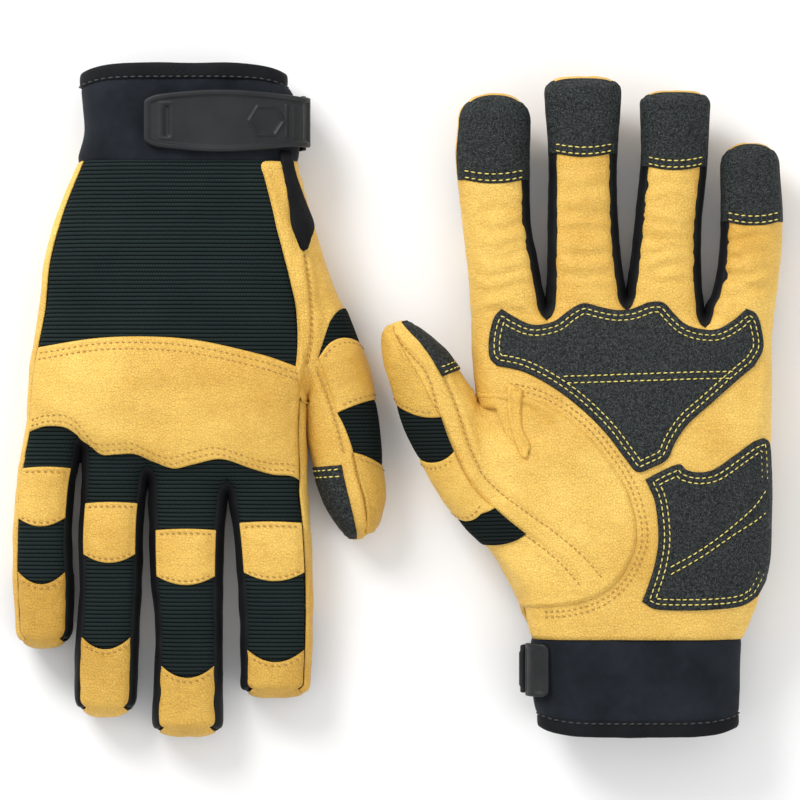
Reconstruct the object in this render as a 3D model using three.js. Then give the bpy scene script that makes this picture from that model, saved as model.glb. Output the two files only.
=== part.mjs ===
// A pair of work gloves, lying side by side: the right glove with its back up and its fingers towards -Y,
// the left glove with its palm up and its fingers towards +Y. Millimetres, +Z up, resting on z = 0.
//
// Each glove is laid out in its own hand frame: x from the thumb side (negative) to the little-finger side,
// y from the wrist seam towards the fingertips, z towards the back of the hand. The four fingers and the hand
// share one surface, a rounded section that is wide at the hand and splits into four narrower ones at the
// crotches. The sewn pieces are thin bodies cut from that surface, or laid on top of it.
import * as THREE from 'three';

// Driving dimensions
const sheetThickness = 1.0;      // leather and knit
const layerGap = 0.95;           // between a piece and one sewn on top of it
const layerThickness = 1.0;
const neopreneThickness = 2.4;
const handInset = 0.15;          // how far in from the outline the back and palm sheets end, as a share
const fingerInset = 0.2;
const handRoundness = 3.0;       // exponent of the hand's rounded section
const fingerRoundness = 2.4;
const blendStart = 0.87;         // along the hand, where the hand's section starts to split into fingers
const outlineBlendStart = 0.5;
const backSlit = 0.055;          // how far the fourchettes run on past the crotch, as a share of the hand
const palmSlit = 0.03;
const thumbRoundness = 2.2;
const restDepth = 15.6;          // the side a glove lies on is pressed flat at this height from its middle
const fingerBaseHeight = 12.2;
const fingertipHeight = 9.6;

// Hand height at distances from the wrist, half of the whole thickness
const handHeight = { at: [0, 30, 70, 105, 130], is: [13.9, 16.5, 17, 15.5, 13.5] };

// Finger: left and right outlines as [y, x], the top of the tip, the length and squareness of the rounded end
const rightGlove = {
  prefix: 'right_',
  place: { x: -81, y: 92.5, mirrored: false },
  wristEdge: { thumb: [[0, -42], [30, -43], [60, -46], [85, -46.5], [108, -43.8], [130, -45.6]],
    little: [[0, 42.5], [20, 50.5], [40, 56], [60, 57.6], [90, 60.4], [110, 64.4], [130, 67.4]] },
  middle: { at: [0, 80, 130, 215], is: [0, 0, -4, -5.5] },   // height of the section's middle
  fingers: [
    { name: 'index', left: [[128, -45.4], [145, -46.7], [165, -47.5], [185, -47.3], [200, -46.6]],
      right: [[131, -14.5], [140, -16.3], [160, -18.1], [180, -19.2], [200, -19.4]],
      tip: 207.5, cap: 7.5, square: 3, patch: [139, 159.5], tipStart: 193, capStart: 174 },
    { name: 'middle', left: [[131, -14.5], [142, -13.4], [165, -12.7], [190, -12.6], [215, -12.8]],
      right: [[125, 16.2], [137, 15.9], [160, 15.4], [180, 13.5], [200, 14], [215, 14.8]],
      tip: 222.5, cap: 7.5, square: 3, patch: [141.8, 161], tipStart: 197, capStart: 188 },
    { name: 'ring', left: [[125, 16.2], [137, 17.8], [160, 18.5], [185, 19.7], [206, 20.6]],
      right: [[113, 41.8], [125, 41.8], [145, 43.1], [165, 42.7], [190, 44.5], [206, 44.6]],
      tip: 215, cap: 9, square: 2.4, patch: [131.5, 152], tipStart: 187, capStart: 182 },
    { name: 'little', left: [[113, 41.8], [125, 44.2], [145, 45.6], [165, 44.9], [180, 45.4]],
      right: [[100, 62.6], [115, 65.5], [135, 67.8], [160, 68.5], [180, 67.4]],
      tip: 188.5, cap: 9, square: 2.3, patch: [118, 138.5], tipStart: 161, capStart: 158 },
  ],
  bandTop: [[-46, 82], [-25, 76], [0, 70], [25, 68.3], [57, 72]],
  bandBottom: [[-46, 120], [-30, 120.5], [-13, 114.9], [4, 118.6], [17, 113], [32, 113.2], [42, 103.5], [62, 106]],
  // Thumb sections from the hand to the tip: outer point, inner point, half height, height of the middle
  thumb: [
    [[-36.6, 14], [-39.5, 90], 11, 0], [[-46, 30], [-46, 88], 13, -1], [[-55, 48], [-45.5, 92], 13.5, -2],
    [[-63, 66], [-45, 97], 13, -3], [[-68.5, 84], [-45, 102], 12.4, -4], [[-72.3, 102], [-45.5, 109], 12, -5],
    [[-73.4, 120], [-48.8, 121.5], 11.5, -5.5], [[-74, 131], [-53, 133], 10.5, -6],
    [[-71, 141], [-59, 142.5], 7.5, -6.5], [[-66.5, 146], [-63, 146.5], 2, -7]],
  thumbPatch: [3.0, 4.9], thumbTipStart: 6.4, thumbCapStart: 6.3,
  cuff: { at: [0, -10, -20, -29, -33.5], left: [-42, -43, -42, -37.5, -36], right: [42.5, 40.6, 40.8, 41.6, 40.5] },
  cuffEnd: -36.5, tab: { y: [-25, -2.5], freeEnd: 16.6 },
};

const leftGlove = {
  prefix: 'left_',
  place: { x: 91.5, y: -92.5, mirrored: true },
  wristEdge: { thumb: [[0, -41], [35, -48], [62, -54], [92, -59.5], [112, -62], [130, -64.7]],
    little: [[0, 40], [15, 46], [31, 49.7], [60, 50.5], [92, 51.2], [112, 51.4], [130, 53.5]] },
  middle: { at: [0, 80, 130, 215], is: [0, 0, 3.5, -2] },
  fingers: [
    { name: 'index', left: [[124, -64], [145, -65.6], [165, -68.1], [185, -70.2], [198, -69.3]],
      right: [[131, -35.4], [142, -37.6], [160, -41], [180, -41.6], [198, -41.2]],
      tip: 210.5, cap: 12, square: 2.3, patch: [139, 159.5], tipStart: 193, capStart: 175.4 },
    { name: 'middle', left: [[131, -35.4], [142, -34.9], [165, -34.6], [190, -34.6], [208, -36.1]],
      right: [[135, -4.4], [145, -6.1], [165, -7.7], [185, -8], [208, -6.4]],
      tip: 217, cap: 7.5, square: 3, patch: [146, 166], tipStart: 195, capStart: 185.5 },
    { name: 'ring', left: [[135, -4.4], [145, -2.8], [165, -0.8], [185, 1.2], [203, 0.8]],
      right: [[128, 25.8], [140, 24.6], [160, 24.6], [180, 26.5], [203, 27.7]],
      tip: 211.5, cap: 7, square: 3.2, patch: [143, 163], tipStart: 190, capStart: 180.5 },
    { name: 'little', left: [[128, 25.8], [135, 29.3], [150, 31.6], [165, 32], [180, 31.7]],
      right: [[116, 51.6], [130, 53.3], [146, 55.1], [162, 55.8], [180, 54.6]],
      tip: 191.5, cap: 10, square: 2.4, patch: [131, 150], tipStart: 170, capStart: 159.3 },
  ],
  bandTop: [[-62, 82], [-40, 78], [-12, 73], [15, 71], [51, 74]],
  bandBottom: [[-62, 122], [-49, 122], [-34, 117.5], [-19, 124], [-4, 120.5], [11, 121.5], [25, 114], [50, 112]],
  thumb: [
    [[-37.8, 14], [-51.5, 90], 11, 0], [[-51, 30], [-59.5, 91.5], 13, 0], [[-66, 44], [-61.5, 92], 13.5, -1],
    [[-78, 62], [-62, 92.5], 13, -2], [[-89, 81], [-63.5, 96], 12.4, -3], [[-93, 96], [-69.5, 105], 11.8, -4],
    [[-96.5, 108], [-77, 113.5], 10.5, -5], [[-97, 117], [-86, 120.5], 7, -5.5], [[-94.5, 122], [-90.5, 123], 2, -6]],
  thumbPatch: [2.5, 3.5], thumbTipStart: 4.8, thumbCapStart: 5.5,
  cuff: { at: [0, -10, -20, -29, -33.5], left: [-41, -42, -41, -37.5, -36], right: [40, 39.4, 39.4, 37.5, 36] },
  cuffEnd: -36.5, tab: { y: [-22, 0.5], freeEnd: 16.6 },
};

// Outlines of the two grip patches on the palm, drawn on the left glove's palm: bottom, top, left, right sides
const palmPatch = {
  bottom: [[-54.6, 105.6], [-34, 97.8], [-13.7, 80.5], [-1.1, 65.1], [10.3, 69.1], [18.5, 82.8], [37.4, 100.1]],
  top: [[-52.6, 127.5], [-37.3, 121.3], [-21.2, 129.5], [-5.8, 126.8], [9, 130.2], [28, 119.7], [41.3, 128]],
  left: [[-54.6, 105.6], [-57.5, 113], [-52.6, 127.5]],
  right: [[37.4, 100.1], [47.5, 112], [41.3, 128]],
};
const heelPatch = {
  bottom: [[0.6, 13], [20.9, 11.8], [35.6, 13.3], [44, 17]],
  top: [[2.1, 61.9], [14.2, 67.4], [21.6, 64.8], [46, 75.5]],
  left: [[0.6, 13], [6.9, 35.8], [2.1, 61.9]],
  right: [[44, 17], [47, 45], [46, 75.5]],
};

const colours = {
  leather: [0xe9bc62, 0.6], gripFabric: [0x3b4140, 0.85], knit: [0x1d2626, 0.9], neoprene: [0x24292f, 0.85],
  rubber: [0x34393a, 0.55], tape: [0x14161a, 0.7], hook: [0x101214, 0.95],
};

const mix = (a, b, t) => a + (b - a) * t;
const clamp01 = (t) => Math.min(Math.max(t, 0), 1);
const easeInOut = (t) => { const c = clamp01(t); return c * c * (3 - 2 * c); };
const roundedOpening = (t) => { const c = clamp01(t); return Math.sqrt(c * (2 - c)); };
const dome = (share, exponent) => Math.pow(Math.max(1 - Math.pow(Math.min(share, 1), exponent), 0), 1 / exponent);
const range = (count) => Array.from({ length: count + 1 }, (_, k) => k / count);

// A smooth curve through (knot, value) pairs, carried on straight past its ends
function curve(knots, values) {
  const last = knots.length - 1;
  const slopes = values.map((_, k) => {
    const before = Math.max(k - 1, 0);
    const after = Math.min(k + 1, last);
    return (values[after] - values[before]) / (knots[after] - knots[before]);
  });
  return (x) => {
    if (x <= knots[0]) return values[0] + slopes[0] * (x - knots[0]);
    if (x >= knots[last]) return values[last] + slopes[last] * (x - knots[last]);
    let k = 0;
    while (x > knots[k + 1]) k += 1;
    const step = knots[k + 1] - knots[k];
    const t = (x - knots[k]) / step;
    const t2 = t * t;
    const t3 = t2 * t;
    return values[k] * (2 * t3 - 3 * t2 + 1) + slopes[k] * step * (t3 - 2 * t2 + t)
      + values[k + 1] * (3 * t2 - 2 * t3) + slopes[k + 1] * step * (t3 - t2);
  };
}
const curveOf = (pairs) => curve(pairs.map((p) => p[0]), pairs.map((p) => p[1]));
const pathOf = (points) => {
  const knots = points.map((_, k) => k / (points.length - 1));
  const along = points[0].map((_, axis) => curve(knots, points.map((p) => p[axis])));
  return (t) => along.map((f) => f(t));
};

// Turns a glove's numbers into its surface
function makeHand(glove) {
  const thumbEdge = curveOf(glove.wristEdge.thumb);
  const littleEdge = curveOf(glove.wristEdge.little);
  const halfHeight = curve(handHeight.at, handHeight.is);
  const middle = curve(glove.middle.at, glove.middle.is);
  const fingers = glove.fingers.map((f) => ({ ...f, leftEdge: curveOf(f.left), rightEdge: curveOf(f.right),
    capFrom: f.tip - f.cap }));

  // band 0..3 is the finger, across -1..1 runs over it, along is 0..1 on the hand, 1..2 on the finger and
  // 2..3 on its rounded end, inset is 1 on the sheets' edge and 0 on the outline
  function plan(band, across, along, inset, slitLength) {
    const finger = fingers[band];
    const base = mix(finger.left[0][0], finger.right[0][0], (across + 1) / 2);
    const reach = 1 - fingerInset * inset;
    const onFinger = (y) => {
      const left = finger.leftEdge(y);
      const right = finger.rightEdge(y);
      return (left + right) / 2 + across * reach * (right - left) / 2;
    };
    if (along >= 2) {
      const b = Math.min(along - 2, 1);
      const half = (finger.rightEdge(finger.capFrom) - finger.leftEdge(finger.capFrom)) / 2;
      const centre = (finger.rightEdge(finger.capFrom) + finger.leftEdge(finger.capFrom)) / 2;
      const discX = across * Math.sqrt(1 - b * b / 2);
      const discY = b * Math.sqrt(1 - across * across / 2);
      const round = Math.hypot(discX, discY);
      const squared = Math.pow(Math.pow(Math.abs(discX), finger.square) + Math.pow(discY, finger.square),
        1 / finger.square);
      const push = squared > 1e-9 ? round / squared : 1;
      return { x: centre + discX * push * reach * half, share: reach * round,
        y: finger.capFrom + discY * push * (finger.cap - (1 - reach) * half) };
    }
    if (along >= 1) {
      const y = mix(base, finger.capFrom, along - 1);
      return { x: onFinger(y), y, share: reach * Math.abs(across) };
    }
    const y = base * along;
    const u = -1 + (band + (across + 1) / 2) / 2;
    const mid = (thumbEdge(y) + littleEdge(y)) / 2;
    const onHand = mid + (1 - handInset * inset) * u * (littleEdge(y) - thumbEdge(y)) / 2;
    const edge = (side) => {
      const atBase = side < 0 ? finger.left[0] : finger.right[0];
      const outer = (band === 0 && side < 0) || (band === 3 && side > 0);
      const half = (finger.rightEdge(atBase[0]) - finger.leftEdge(atBase[0])) / 2;
      return outer ? atBase[1] - side * (1 - reach) * half : atBase[1];
    };
    const closed = mix(edge(-1), edge(1), (across + 1) / 2);
    const slit = slitLength * Math.sqrt(inset);
    const open = slit > 0 ? roundedOpening((along - 1 + slit) / slit) : 0;
    const toFinger = easeInOut((along - outlineBlendStart) / (1 - outlineBlendStart));
    return { x: mix(onHand, closed, toFinger) + (onFinger(base) - closed) * open, y, share: null };
  }

  // side 1 is the back sheet, -1 the palm sheet, and between them it runs down the side wall
  function point(band, across, along, side) {
    const inset = side * side;
    const p = plan(band, across, along, inset, side > 0 ? backSlit : palmSlit);
    const fingerShare = p.share === null ? (1 - fingerInset * inset) * Math.abs(across) : p.share;
    let height = mix(fingerBaseHeight, fingertipHeight, clamp01(along - 1)) * dome(fingerShare, fingerRoundness);
    if (along < 1) {
      const share = (1 - handInset * inset) * Math.abs(-1 + (band + (across + 1) / 2) / 2);
      const handDome = halfHeight(p.y) * dome(share, handRoundness);
      const split = easeInOut((along - blendStart) / (1 - blendStart));
      height = mix(handDome, height, split);
    }
    const z = middle(p.y) + Math.sign(side) * height;
    return new THREE.Vector3(p.x, p.y, glove.place.mirrored ? Math.min(z, restDepth) : Math.max(z, -restDepth));
  }

  // Where a plan position (x, y) on the hand lies, as band, across and along
  function locate(x, y, side) {
    let found = { band: 0, across: 0, along: 0 };
    let low = -1;
    let high = 1;
    for (let k = 0; k < 22; k += 1) {
      const u = (low + high) / 2;
      const band = Math.min(Math.floor((u + 1) * 2), 3);
      const across = ((u + 1) * 2 - band) * 2 - 1;
      const finger = fingers[band];
      const base = mix(finger.left[0][0], finger.right[0][0], (across + 1) / 2);
      const top = finger.capFrom;
      const along = y <= base ? y / base : 1 + (y - base) / (top - base);
      found = { band, across, along };
      const here = point(band, across, along, side).x;
      if (here < x) low = u; else high = u;
    }
    return found;
  }
  return { fingers, point, locate, thumbEdge, littleEdge, halfHeight, middle };
}

// A closed body from a net of four-sided cells: the surface carried outwards from inner to outer, with walls
// along its open edges. Points that lie on each other are joined.
function thicken(cells, inner, outer, mirrored) {
  const points = [];
  const known = new Map();
  const indexOf = (p) => {
    const key = p.toArray().map((v) => Math.round(v * 50 + 0.137)).join();
    if (!known.has(key)) {
      known.set(key, points.length);
      points.push(p);
    }
    return known.get(key);
  };
  const faces = [];
  for (const cell of cells) {
    const [a, b, c, d] = cell.map(indexOf);
    if (new Set([a, b, c]).size === 3) faces.push([a, b, c]);
    if (new Set([a, c, d]).size === 3) faces.push([a, c, d]);
  }
  const normals = points.map(() => new THREE.Vector3());
  const edge1 = new THREE.Vector3();
  const edge2 = new THREE.Vector3();
  for (const face of faces) {
    edge1.subVectors(points[face[1]], points[face[0]]);
    edge2.subVectors(points[face[2]], points[face[0]]);
    const normal = edge1.clone().cross(edge2);
    face.forEach((k) => normals[k].add(normal));
  }
  normals.forEach((n) => n.normalize());
  const count = points.length;
  const position = [];
  for (const distance of [outer, inner]) {
    points.forEach((p, k) => position.push(...p.clone().addScaledVector(normals[k], distance).toArray()));
  }
  const index = [];
  const open = new Map();
  for (const [a, b, c] of faces) {
    index.push(a, b, c, count + a, count + c, count + b);
    for (const [from, to] of [[a, b], [b, c], [c, a]]) {
      if (open.has(`${to},${from}`)) open.delete(`${to},${from}`);
      else open.set(`${from},${to}`, [from, to]);
    }
  }
  for (const [from, to] of open.values()) {
    index.push(from, count + from, to, to, count + from, count + to);
  }
  return closedGeometry(position, index, mirrored);
}

function closedGeometry(position, index, mirrored) {
  if (mirrored) {
    for (let k = 2; k < position.length; k += 3) position[k] = -position[k];
    for (let k = 0; k < index.length; k += 3) [index[k], index[k + 1]] = [index[k + 1], index[k]];
  } else {
    for (let k = 0; k < position.length; k += 3) {
      position[k] = -position[k];
      position[k + 1] = -position[k + 1];
    }
  }
  const geometry = new THREE.BufferGeometry();
  geometry.setAttribute('position', new THREE.Float32BufferAttribute(position, 3));
  geometry.setIndex(index);
  return geometry;
}

// The cells of a net: rows and columns of a function of two parameters
function net(rows, columns, at) {
  const cells = [];
  for (let r = 0; r + 1 < rows.length; r += 1) {
    for (let c = 0; c + 1 < columns.length; c += 1) {
      cells.push([at(rows[r], columns[c]), at(rows[r], columns[c + 1]),
        at(rows[r + 1], columns[c + 1]), at(rows[r + 1], columns[c])]);
    }
  }
  return cells;
}
const turned = (cells) => cells.map(([a, b, c, d]) => [a, d, c, b]);

function makeGlove(glove) {
  const hand = makeHand(glove);
  const pair = new THREE.Group();
  const { mirrored } = glove.place;
  const bands = [0, 1, 2, 3];
  const acrossSteps = range(3).map((t) => 2 * t - 1);

  function add(name, geometry, colour) {
    const [hex, roughness] = colours[colour];
    const material = new THREE.MeshStandardMaterial({ color: hex, roughness, metalness: 0 });
    const mesh = new THREE.Mesh(geometry, material);
    mesh.name = glove.prefix + name;
    pair.add(mesh);
  }
  // Along value of a plan y, on one finger at one across position
  const alongAt = (band, across, y) => {
    const finger = hand.fingers[band];
    const base = mix(finger.left[0][0], finger.right[0][0], (across + 1) / 2);
    return y <= base ? y / base : 1 + (y - base) / (finger.capFrom - base);
  };
  const ySteps = (from, to, count) => range(count).map((t) => mix(from, to, t));

  // Palm leather: the palm sheet over the hand and the fronts of the fingers, and the walls on the two outer
  // sides, left open where the thumb joins
  const handRows = [0.006, 0.12, 0.25, 0.38, 0.5, 0.62, 0.74, 0.84, 0.9, 0.935, 0.97, 0.985, 1,
    1.12, 1.36, 1.68, 2, 2.5, 3];
  const palmCells = bands.flatMap((band) => turned(net(handRows, acrossSteps,
    (along, across) => hand.point(band, across, along, -1))));
  const wallRows = handRows.filter((r) => r < 3).concat([2.9]);
  const littleWall = net(wallRows, [-1, -0.5, 0, 0.5, 0.8], (along, side) => hand.point(3, 1, along, side));
  const thumbJoin = [0.12, 0.74];
  const wallCells = (rows) => net(rows, [-1, -0.5, 0, 0.5, 0.8], (along, side) => hand.point(0, -1, along, side));
  const indexWall = [...wallCells(wallRows.filter((r) => r >= thumbJoin[1])),
    ...wallCells(handRows.filter((r) => r <= thumbJoin[0]))];
  const palmAndWalls = [...palmCells, ...turned(littleWall), ...indexWall];
  add('palm_leather', thicken(palmAndWalls, -sheetThickness, 0, mirrored), 'leather');

  // Back: one knit piece from the wrist to where the fingertip leather starts
  const backRows = handRows.slice(0, 13);
  const backCells = bands.flatMap((band) => {
    const start = (across) => alongAt(band, across, hand.fingers[band].tipStart);
    return net([...backRows, ...range(3).slice(1).map((t) => 1 + t)], acrossSteps, (along, across) => (
      hand.point(band, across, along <= 1 ? along : mix(1, start(across), along - 1) - 0.004, 1)));
  });
  add('back_knit', thicken(backCells, -sheetThickness, 0, mirrored), 'knit');

  // Leather band over the knuckles, sewn on the knit
  const bandTop = curveOf(glove.bandTop);
  const bandBottom = curveOf(glove.bandBottom);
  const bandCells = bands.flatMap((band) => net(range(5), acrossSteps, (t, across) => {
    const x = hand.point(band, across, 0.75, 1).x;
    return hand.point(band, across, Math.min(alongAt(band, across, mix(bandTop(x), bandBottom(x), t)), 0.93), 1);
  }));
  add('knuckle_band', thicken(bandCells, layerGap, layerGap + layerThickness, mirrored), 'leather');

  hand.fingers.forEach((finger, band) => {
    const across = acrossSteps.map((a) => a * 0.93);
    const patchCells = net(ySteps(...finger.patch, 2), across,
      (y, a) => hand.point(band, a, alongAt(band, a, y), 1));
    add(`${finger.name}_knuckle_patch`, thicken(patchCells, layerGap, layerGap + layerThickness, mirrored), 'leather');

    // Fingertip leather: from the back over the end of the finger
    const tipFrom = (a) => alongAt(band, a, finger.tipStart);
    const tipCells = net([0, 1, 1.5, 2, 2.4, 2.8, 3.3], acrossSteps, (t, a) => {
      if (t <= 1) return hand.point(band, a, mix(tipFrom(a), 2, t), 1);
      if (t <= 2) return hand.point(band, a, 1 + t, 1);
      return hand.point(band, a * 0.86, 3, 1 - (t - 2) * 1.4);
    });
    add(`${finger.name}_tip_leather`, thicken(tipCells, -sheetThickness, 0, mirrored), 'leather');

    // Grip cap on the front of the fingertip, sewn on the palm leather
    const capCells = turned(net([0, 0.5, 1, 1.5, 1.85], across, (t, a) => hand.point(band, a,
      t <= 1 ? mix(alongAt(band, a, finger.capStart), 2, t) : 1 + t, -1)));
    add(`${finger.name}_grip_cap`, thicken(capCells, layerGap, layerGap + layerThickness, mirrored), 'gripFabric');
  });

  // Fourchettes: the strips between neighbouring fingers, round the crotch
  const wallSides = [-0.72, -0.36, 0, 0.36, 0.72];
  for (let gap = 0; gap < 3; gap += 1) {
    const end = 2.85;
    const crotch = (side) => 1 - (side > 0 ? backSlit : palmSlit) * Math.abs(side);
    const down = (t, side) => hand.point(gap, 1, mix(end, crotch(side), t), side);
    const up = (t, side) => hand.point(gap + 1, -1, mix(crotch(side), end, t), side);
    const steps = [0, 0.2, 0.4, 0.65, 0.88, 1];
    const cells = [...net(steps, wallSides, down), ...net(steps.map((t) => 1 - t).reverse(), wallSides, up)];
    const names = ['index_middle', 'middle_ring', 'ring_little'];
    add(`${names[gap]}_fourchette`, thicken(cells, -sheetThickness, 0, mirrored), 'knit');
  }

  // Grip patches on the palm, sides drawn as curves and filled between them
  function patchOnPalm(outline, columns, rows) {
    const sides = Object.fromEntries(Object.entries(outline).map(([k, points]) => [k, pathOf(points)]));
    const corner = [sides.bottom(0), sides.bottom(1), sides.top(0), sides.top(1)];
    return turned(net(range(rows), range(columns), (v, u) => {
      const [x, y] = [0, 1].map((k) => mix(sides.bottom(u)[k], sides.top(u)[k], v)
        + mix(sides.left(v)[k], sides.right(v)[k], u)
        - mix(mix(corner[0][k], corner[1][k], u), mix(corner[2][k], corner[3][k], u), v));
      const spot = leftHand.locate(x, y, -1);
      return hand.point(spot.band, spot.across, Math.min(spot.along, 0.985), -1);
    }));
  }
  add('palm_grip_patch', thicken(patchOnPalm(palmPatch, 12, 5), layerGap, layerGap + layerThickness, mirrored),
    'gripFabric');
  add('heel_grip_patch', thicken(patchOnPalm(heelPatch, 4, 4), layerGap, layerGap + layerThickness, mirrored),
    'gripFabric');

  // Thumb: a rounded section carried from the side of the hand to the thumb's tip
  const sections = glove.thumb.length - 1;
  const stations = glove.thumb.map((_, k) => k);
  const railOf = (pick) => curve(stations, glove.thumb.map(pick));
  const rails = { outerX: railOf((t) => t[0][0]), outerY: railOf((t) => t[0][1]), innerX: railOf((t) => t[1][0]),
    innerY: railOf((t) => t[1][1]), height: railOf((t) => t[2]), middle: railOf((t) => t[3]) };
  // turn is 0 at the side that faces the index finger, 90 at the back of the hand and 180 at the outer side
  function thumbPoint(s, turn) {
    const angle = turn * Math.PI / 180;
    const power = (v) => Math.sign(v) * Math.pow(Math.abs(v), 2 / thumbRoundness);
    const towards = (1 - power(Math.cos(angle))) / 2;
    return new THREE.Vector3(mix(rails.innerX(s), rails.outerX(s), towards),
      mix(rails.innerY(s), rails.outerY(s), towards), rails.middle(s) + rails.height(s) * power(Math.sin(angle)));
  }
  const thumbRows = (from, to, count) => range(count).map((t) => mix(from, to, t));
  const turns = (from, to, count) => range(count).map((t) => mix(from, to, t));
  const start = 0.12;
  const thumbCells = (rows, columns) => turned(net(rows, columns, thumbPoint));
  const thumbSheet = (rows, columns) => thicken(thumbCells(rows, columns), -sheetThickness, 0, mirrored);
  add('thumb_leather', thumbSheet(thumbRows(start, sections, 8), turns(-88, 100, 7)), 'leather');
  add('thumb_back_knit', thumbSheet(thumbRows(start, glove.thumbTipStart - 0.07, 6), turns(104, 268, 6)), 'knit');
  add('thumb_tip_leather', thumbSheet(thumbRows(glove.thumbTipStart, sections - 0.3, 3), turns(107, 263, 5)),
    'leather');
  const thumbCap = thumbCells(thumbRows(glove.thumbCapStart, sections - 0.6, 3), turns(-45, 65, 4));
  add('thumb_grip_cap', thicken(thumbCap, layerGap, layerGap + layerThickness, mirrored), 'gripFabric');

  // Cuff: a neoprene ring with a taped edge
  const cuffLeft = curve([...glove.cuff.at].reverse(), [...glove.cuff.left].reverse());
  const cuffRight = curve([...glove.cuff.at].reverse(), [...glove.cuff.right].reverse());
  const cuffHeight = curve([-36, -18, 0], [12.2, 12, 12.9]);
  const edgeY = (turn, y) => (y < -30 ? y + 4 * Math.pow(Math.cos(turn * Math.PI / 180), 2) : y);
  function cuffPoint(y, turn) {
    const angle = turn * Math.PI / 180;
    const power = (v) => Math.sign(v) * Math.pow(Math.abs(v), 2 / handRoundness);
    const yy = edgeY(turn, y);
    return new THREE.Vector3(mix(cuffLeft(yy), cuffRight(yy), (1 + power(Math.cos(angle))) / 2), yy,
      cuffHeight(yy) * power(Math.sin(angle)));
  }
  const round = range(28).map((t) => 360 * (t % 1));
  round[28] = 0;
  add('cuff', thicken(net([-0.5, -10, -20, -30.5], round, cuffPoint), -neopreneThickness, 0, mirrored), 'neoprene');
  add('cuff_binding', thicken(net([-31.2, -34, glove.cuffEnd], round, cuffPoint), -neopreneThickness - 0.4, 0.8,
    mirrored), 'tape');

  // Closure: a rubber tab with a hook patch under it, hinged at the thumb side of the cuff, and its sewn end
  const [tabLow, tabHigh] = glove.tab.y;
  const tabMiddle = (tabLow + tabHigh) / 2;
  const reachTo = (x) => { // the turn round the cuff at which a plan x lies on its back
    const share = 2 * (x - cuffLeft(tabMiddle)) / (cuffRight(tabMiddle) - cuffLeft(tabMiddle)) - 1;
    return Math.acos(Math.sign(share) * Math.pow(Math.abs(share), handRoundness / 2)) * 180 / Math.PI;
  };
  const tabTurns = [...ySteps(reachTo(glove.tab.freeEnd), 158, 6), 168, 176];
  const tabHalf = (t) => (tabHigh - tabLow) / 2 * (t < 0.1 ? 0.8 : t > 6.5 / 8 ? 0.82 : 1);
  const onTab = (k, across) => cuffPoint(tabMiddle + across * tabHalf(k / 8), tabTurns[k]);
  const tabRows = [0, 1, 2, 3, 4, 5, 6, 7, 8];
  const tabCells = net(tabRows, [-1, 0, 1], onTab);
  add('closure_tab', thicken(tabCells, 2.3, 4.3, mirrored), 'rubber');
  add('hook_patch', thicken(net([0.5, 2, 3.5, 4.5], [-0.8, 0, 0.8], (k, across) => {
    const turn = mix(tabTurns[Math.floor(k)], tabTurns[Math.min(Math.floor(k) + 1, 8)], k % 1);
    return cuffPoint(tabMiddle + across * tabHalf(0.5), turn);
  }), 0.5, 1.8, mirrored), 'hook');
  add('tab_anchor', thicken(net([184, 196, 208, 220], [-1, 0, 1], (turn, across) => (
    cuffPoint(tabMiddle + across * tabHalf(1), turn))), 0.6, 2.6, mirrored), 'rubber');

  // Binding of the slit at the thumb side of the wrist
  const gussetCells = net(range(4), [-1, 0, 1], (t, across) => {
    const y = mix(1.5, 31, t);
    return hand.point(0, -1 + 0.14 * (across + 1.1), y / hand.fingers[0].left[0][0], 1);
  });
  add('wrist_gusset', thicken(gussetCells, layerGap, layerGap + layerThickness, mirrored), 'tape');

  return pair;
}

const leftHand = makeHand(leftGlove);

const gloves = new THREE.Group();
for (const glove of [rightGlove, leftGlove]) {
  const pair = makeGlove(glove);
  const lowest = new THREE.Box3().setFromObject(pair).min.z;
  pair.position.set(glove.place.x, glove.place.y, -lowest);
  gloves.add(pair);
}
const extents = new THREE.Box3().setFromObject(gloves);
gloves.position.set(-(extents.min.x + extents.max.x) / 2, -(extents.min.y + extents.max.y) / 2, 0);
gloves.updateMatrixWorld(true);

export default gloves;
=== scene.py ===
import math
import bpy
import numpy as np
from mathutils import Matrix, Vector


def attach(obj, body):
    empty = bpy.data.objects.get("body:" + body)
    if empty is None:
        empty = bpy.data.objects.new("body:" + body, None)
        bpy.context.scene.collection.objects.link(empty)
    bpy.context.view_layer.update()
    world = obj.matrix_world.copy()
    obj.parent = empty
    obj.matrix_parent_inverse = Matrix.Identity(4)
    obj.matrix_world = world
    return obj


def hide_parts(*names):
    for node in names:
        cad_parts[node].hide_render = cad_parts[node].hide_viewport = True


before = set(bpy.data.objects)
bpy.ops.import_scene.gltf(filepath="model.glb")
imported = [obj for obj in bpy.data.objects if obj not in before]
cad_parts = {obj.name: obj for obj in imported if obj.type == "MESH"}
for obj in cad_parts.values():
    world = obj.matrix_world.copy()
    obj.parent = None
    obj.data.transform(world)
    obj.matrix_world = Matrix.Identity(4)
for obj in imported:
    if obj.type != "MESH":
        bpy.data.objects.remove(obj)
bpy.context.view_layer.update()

# Each glove is laid out in its own hand frame in millimetres: x from the thumb side to the little finger's,
# y from the wrist seam to the fingertips, z towards the back of the hand. toWorld() puts it in the frame.
mm = 0.001
fingerNames = ["index", "middle", "ring", "little"]

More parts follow.
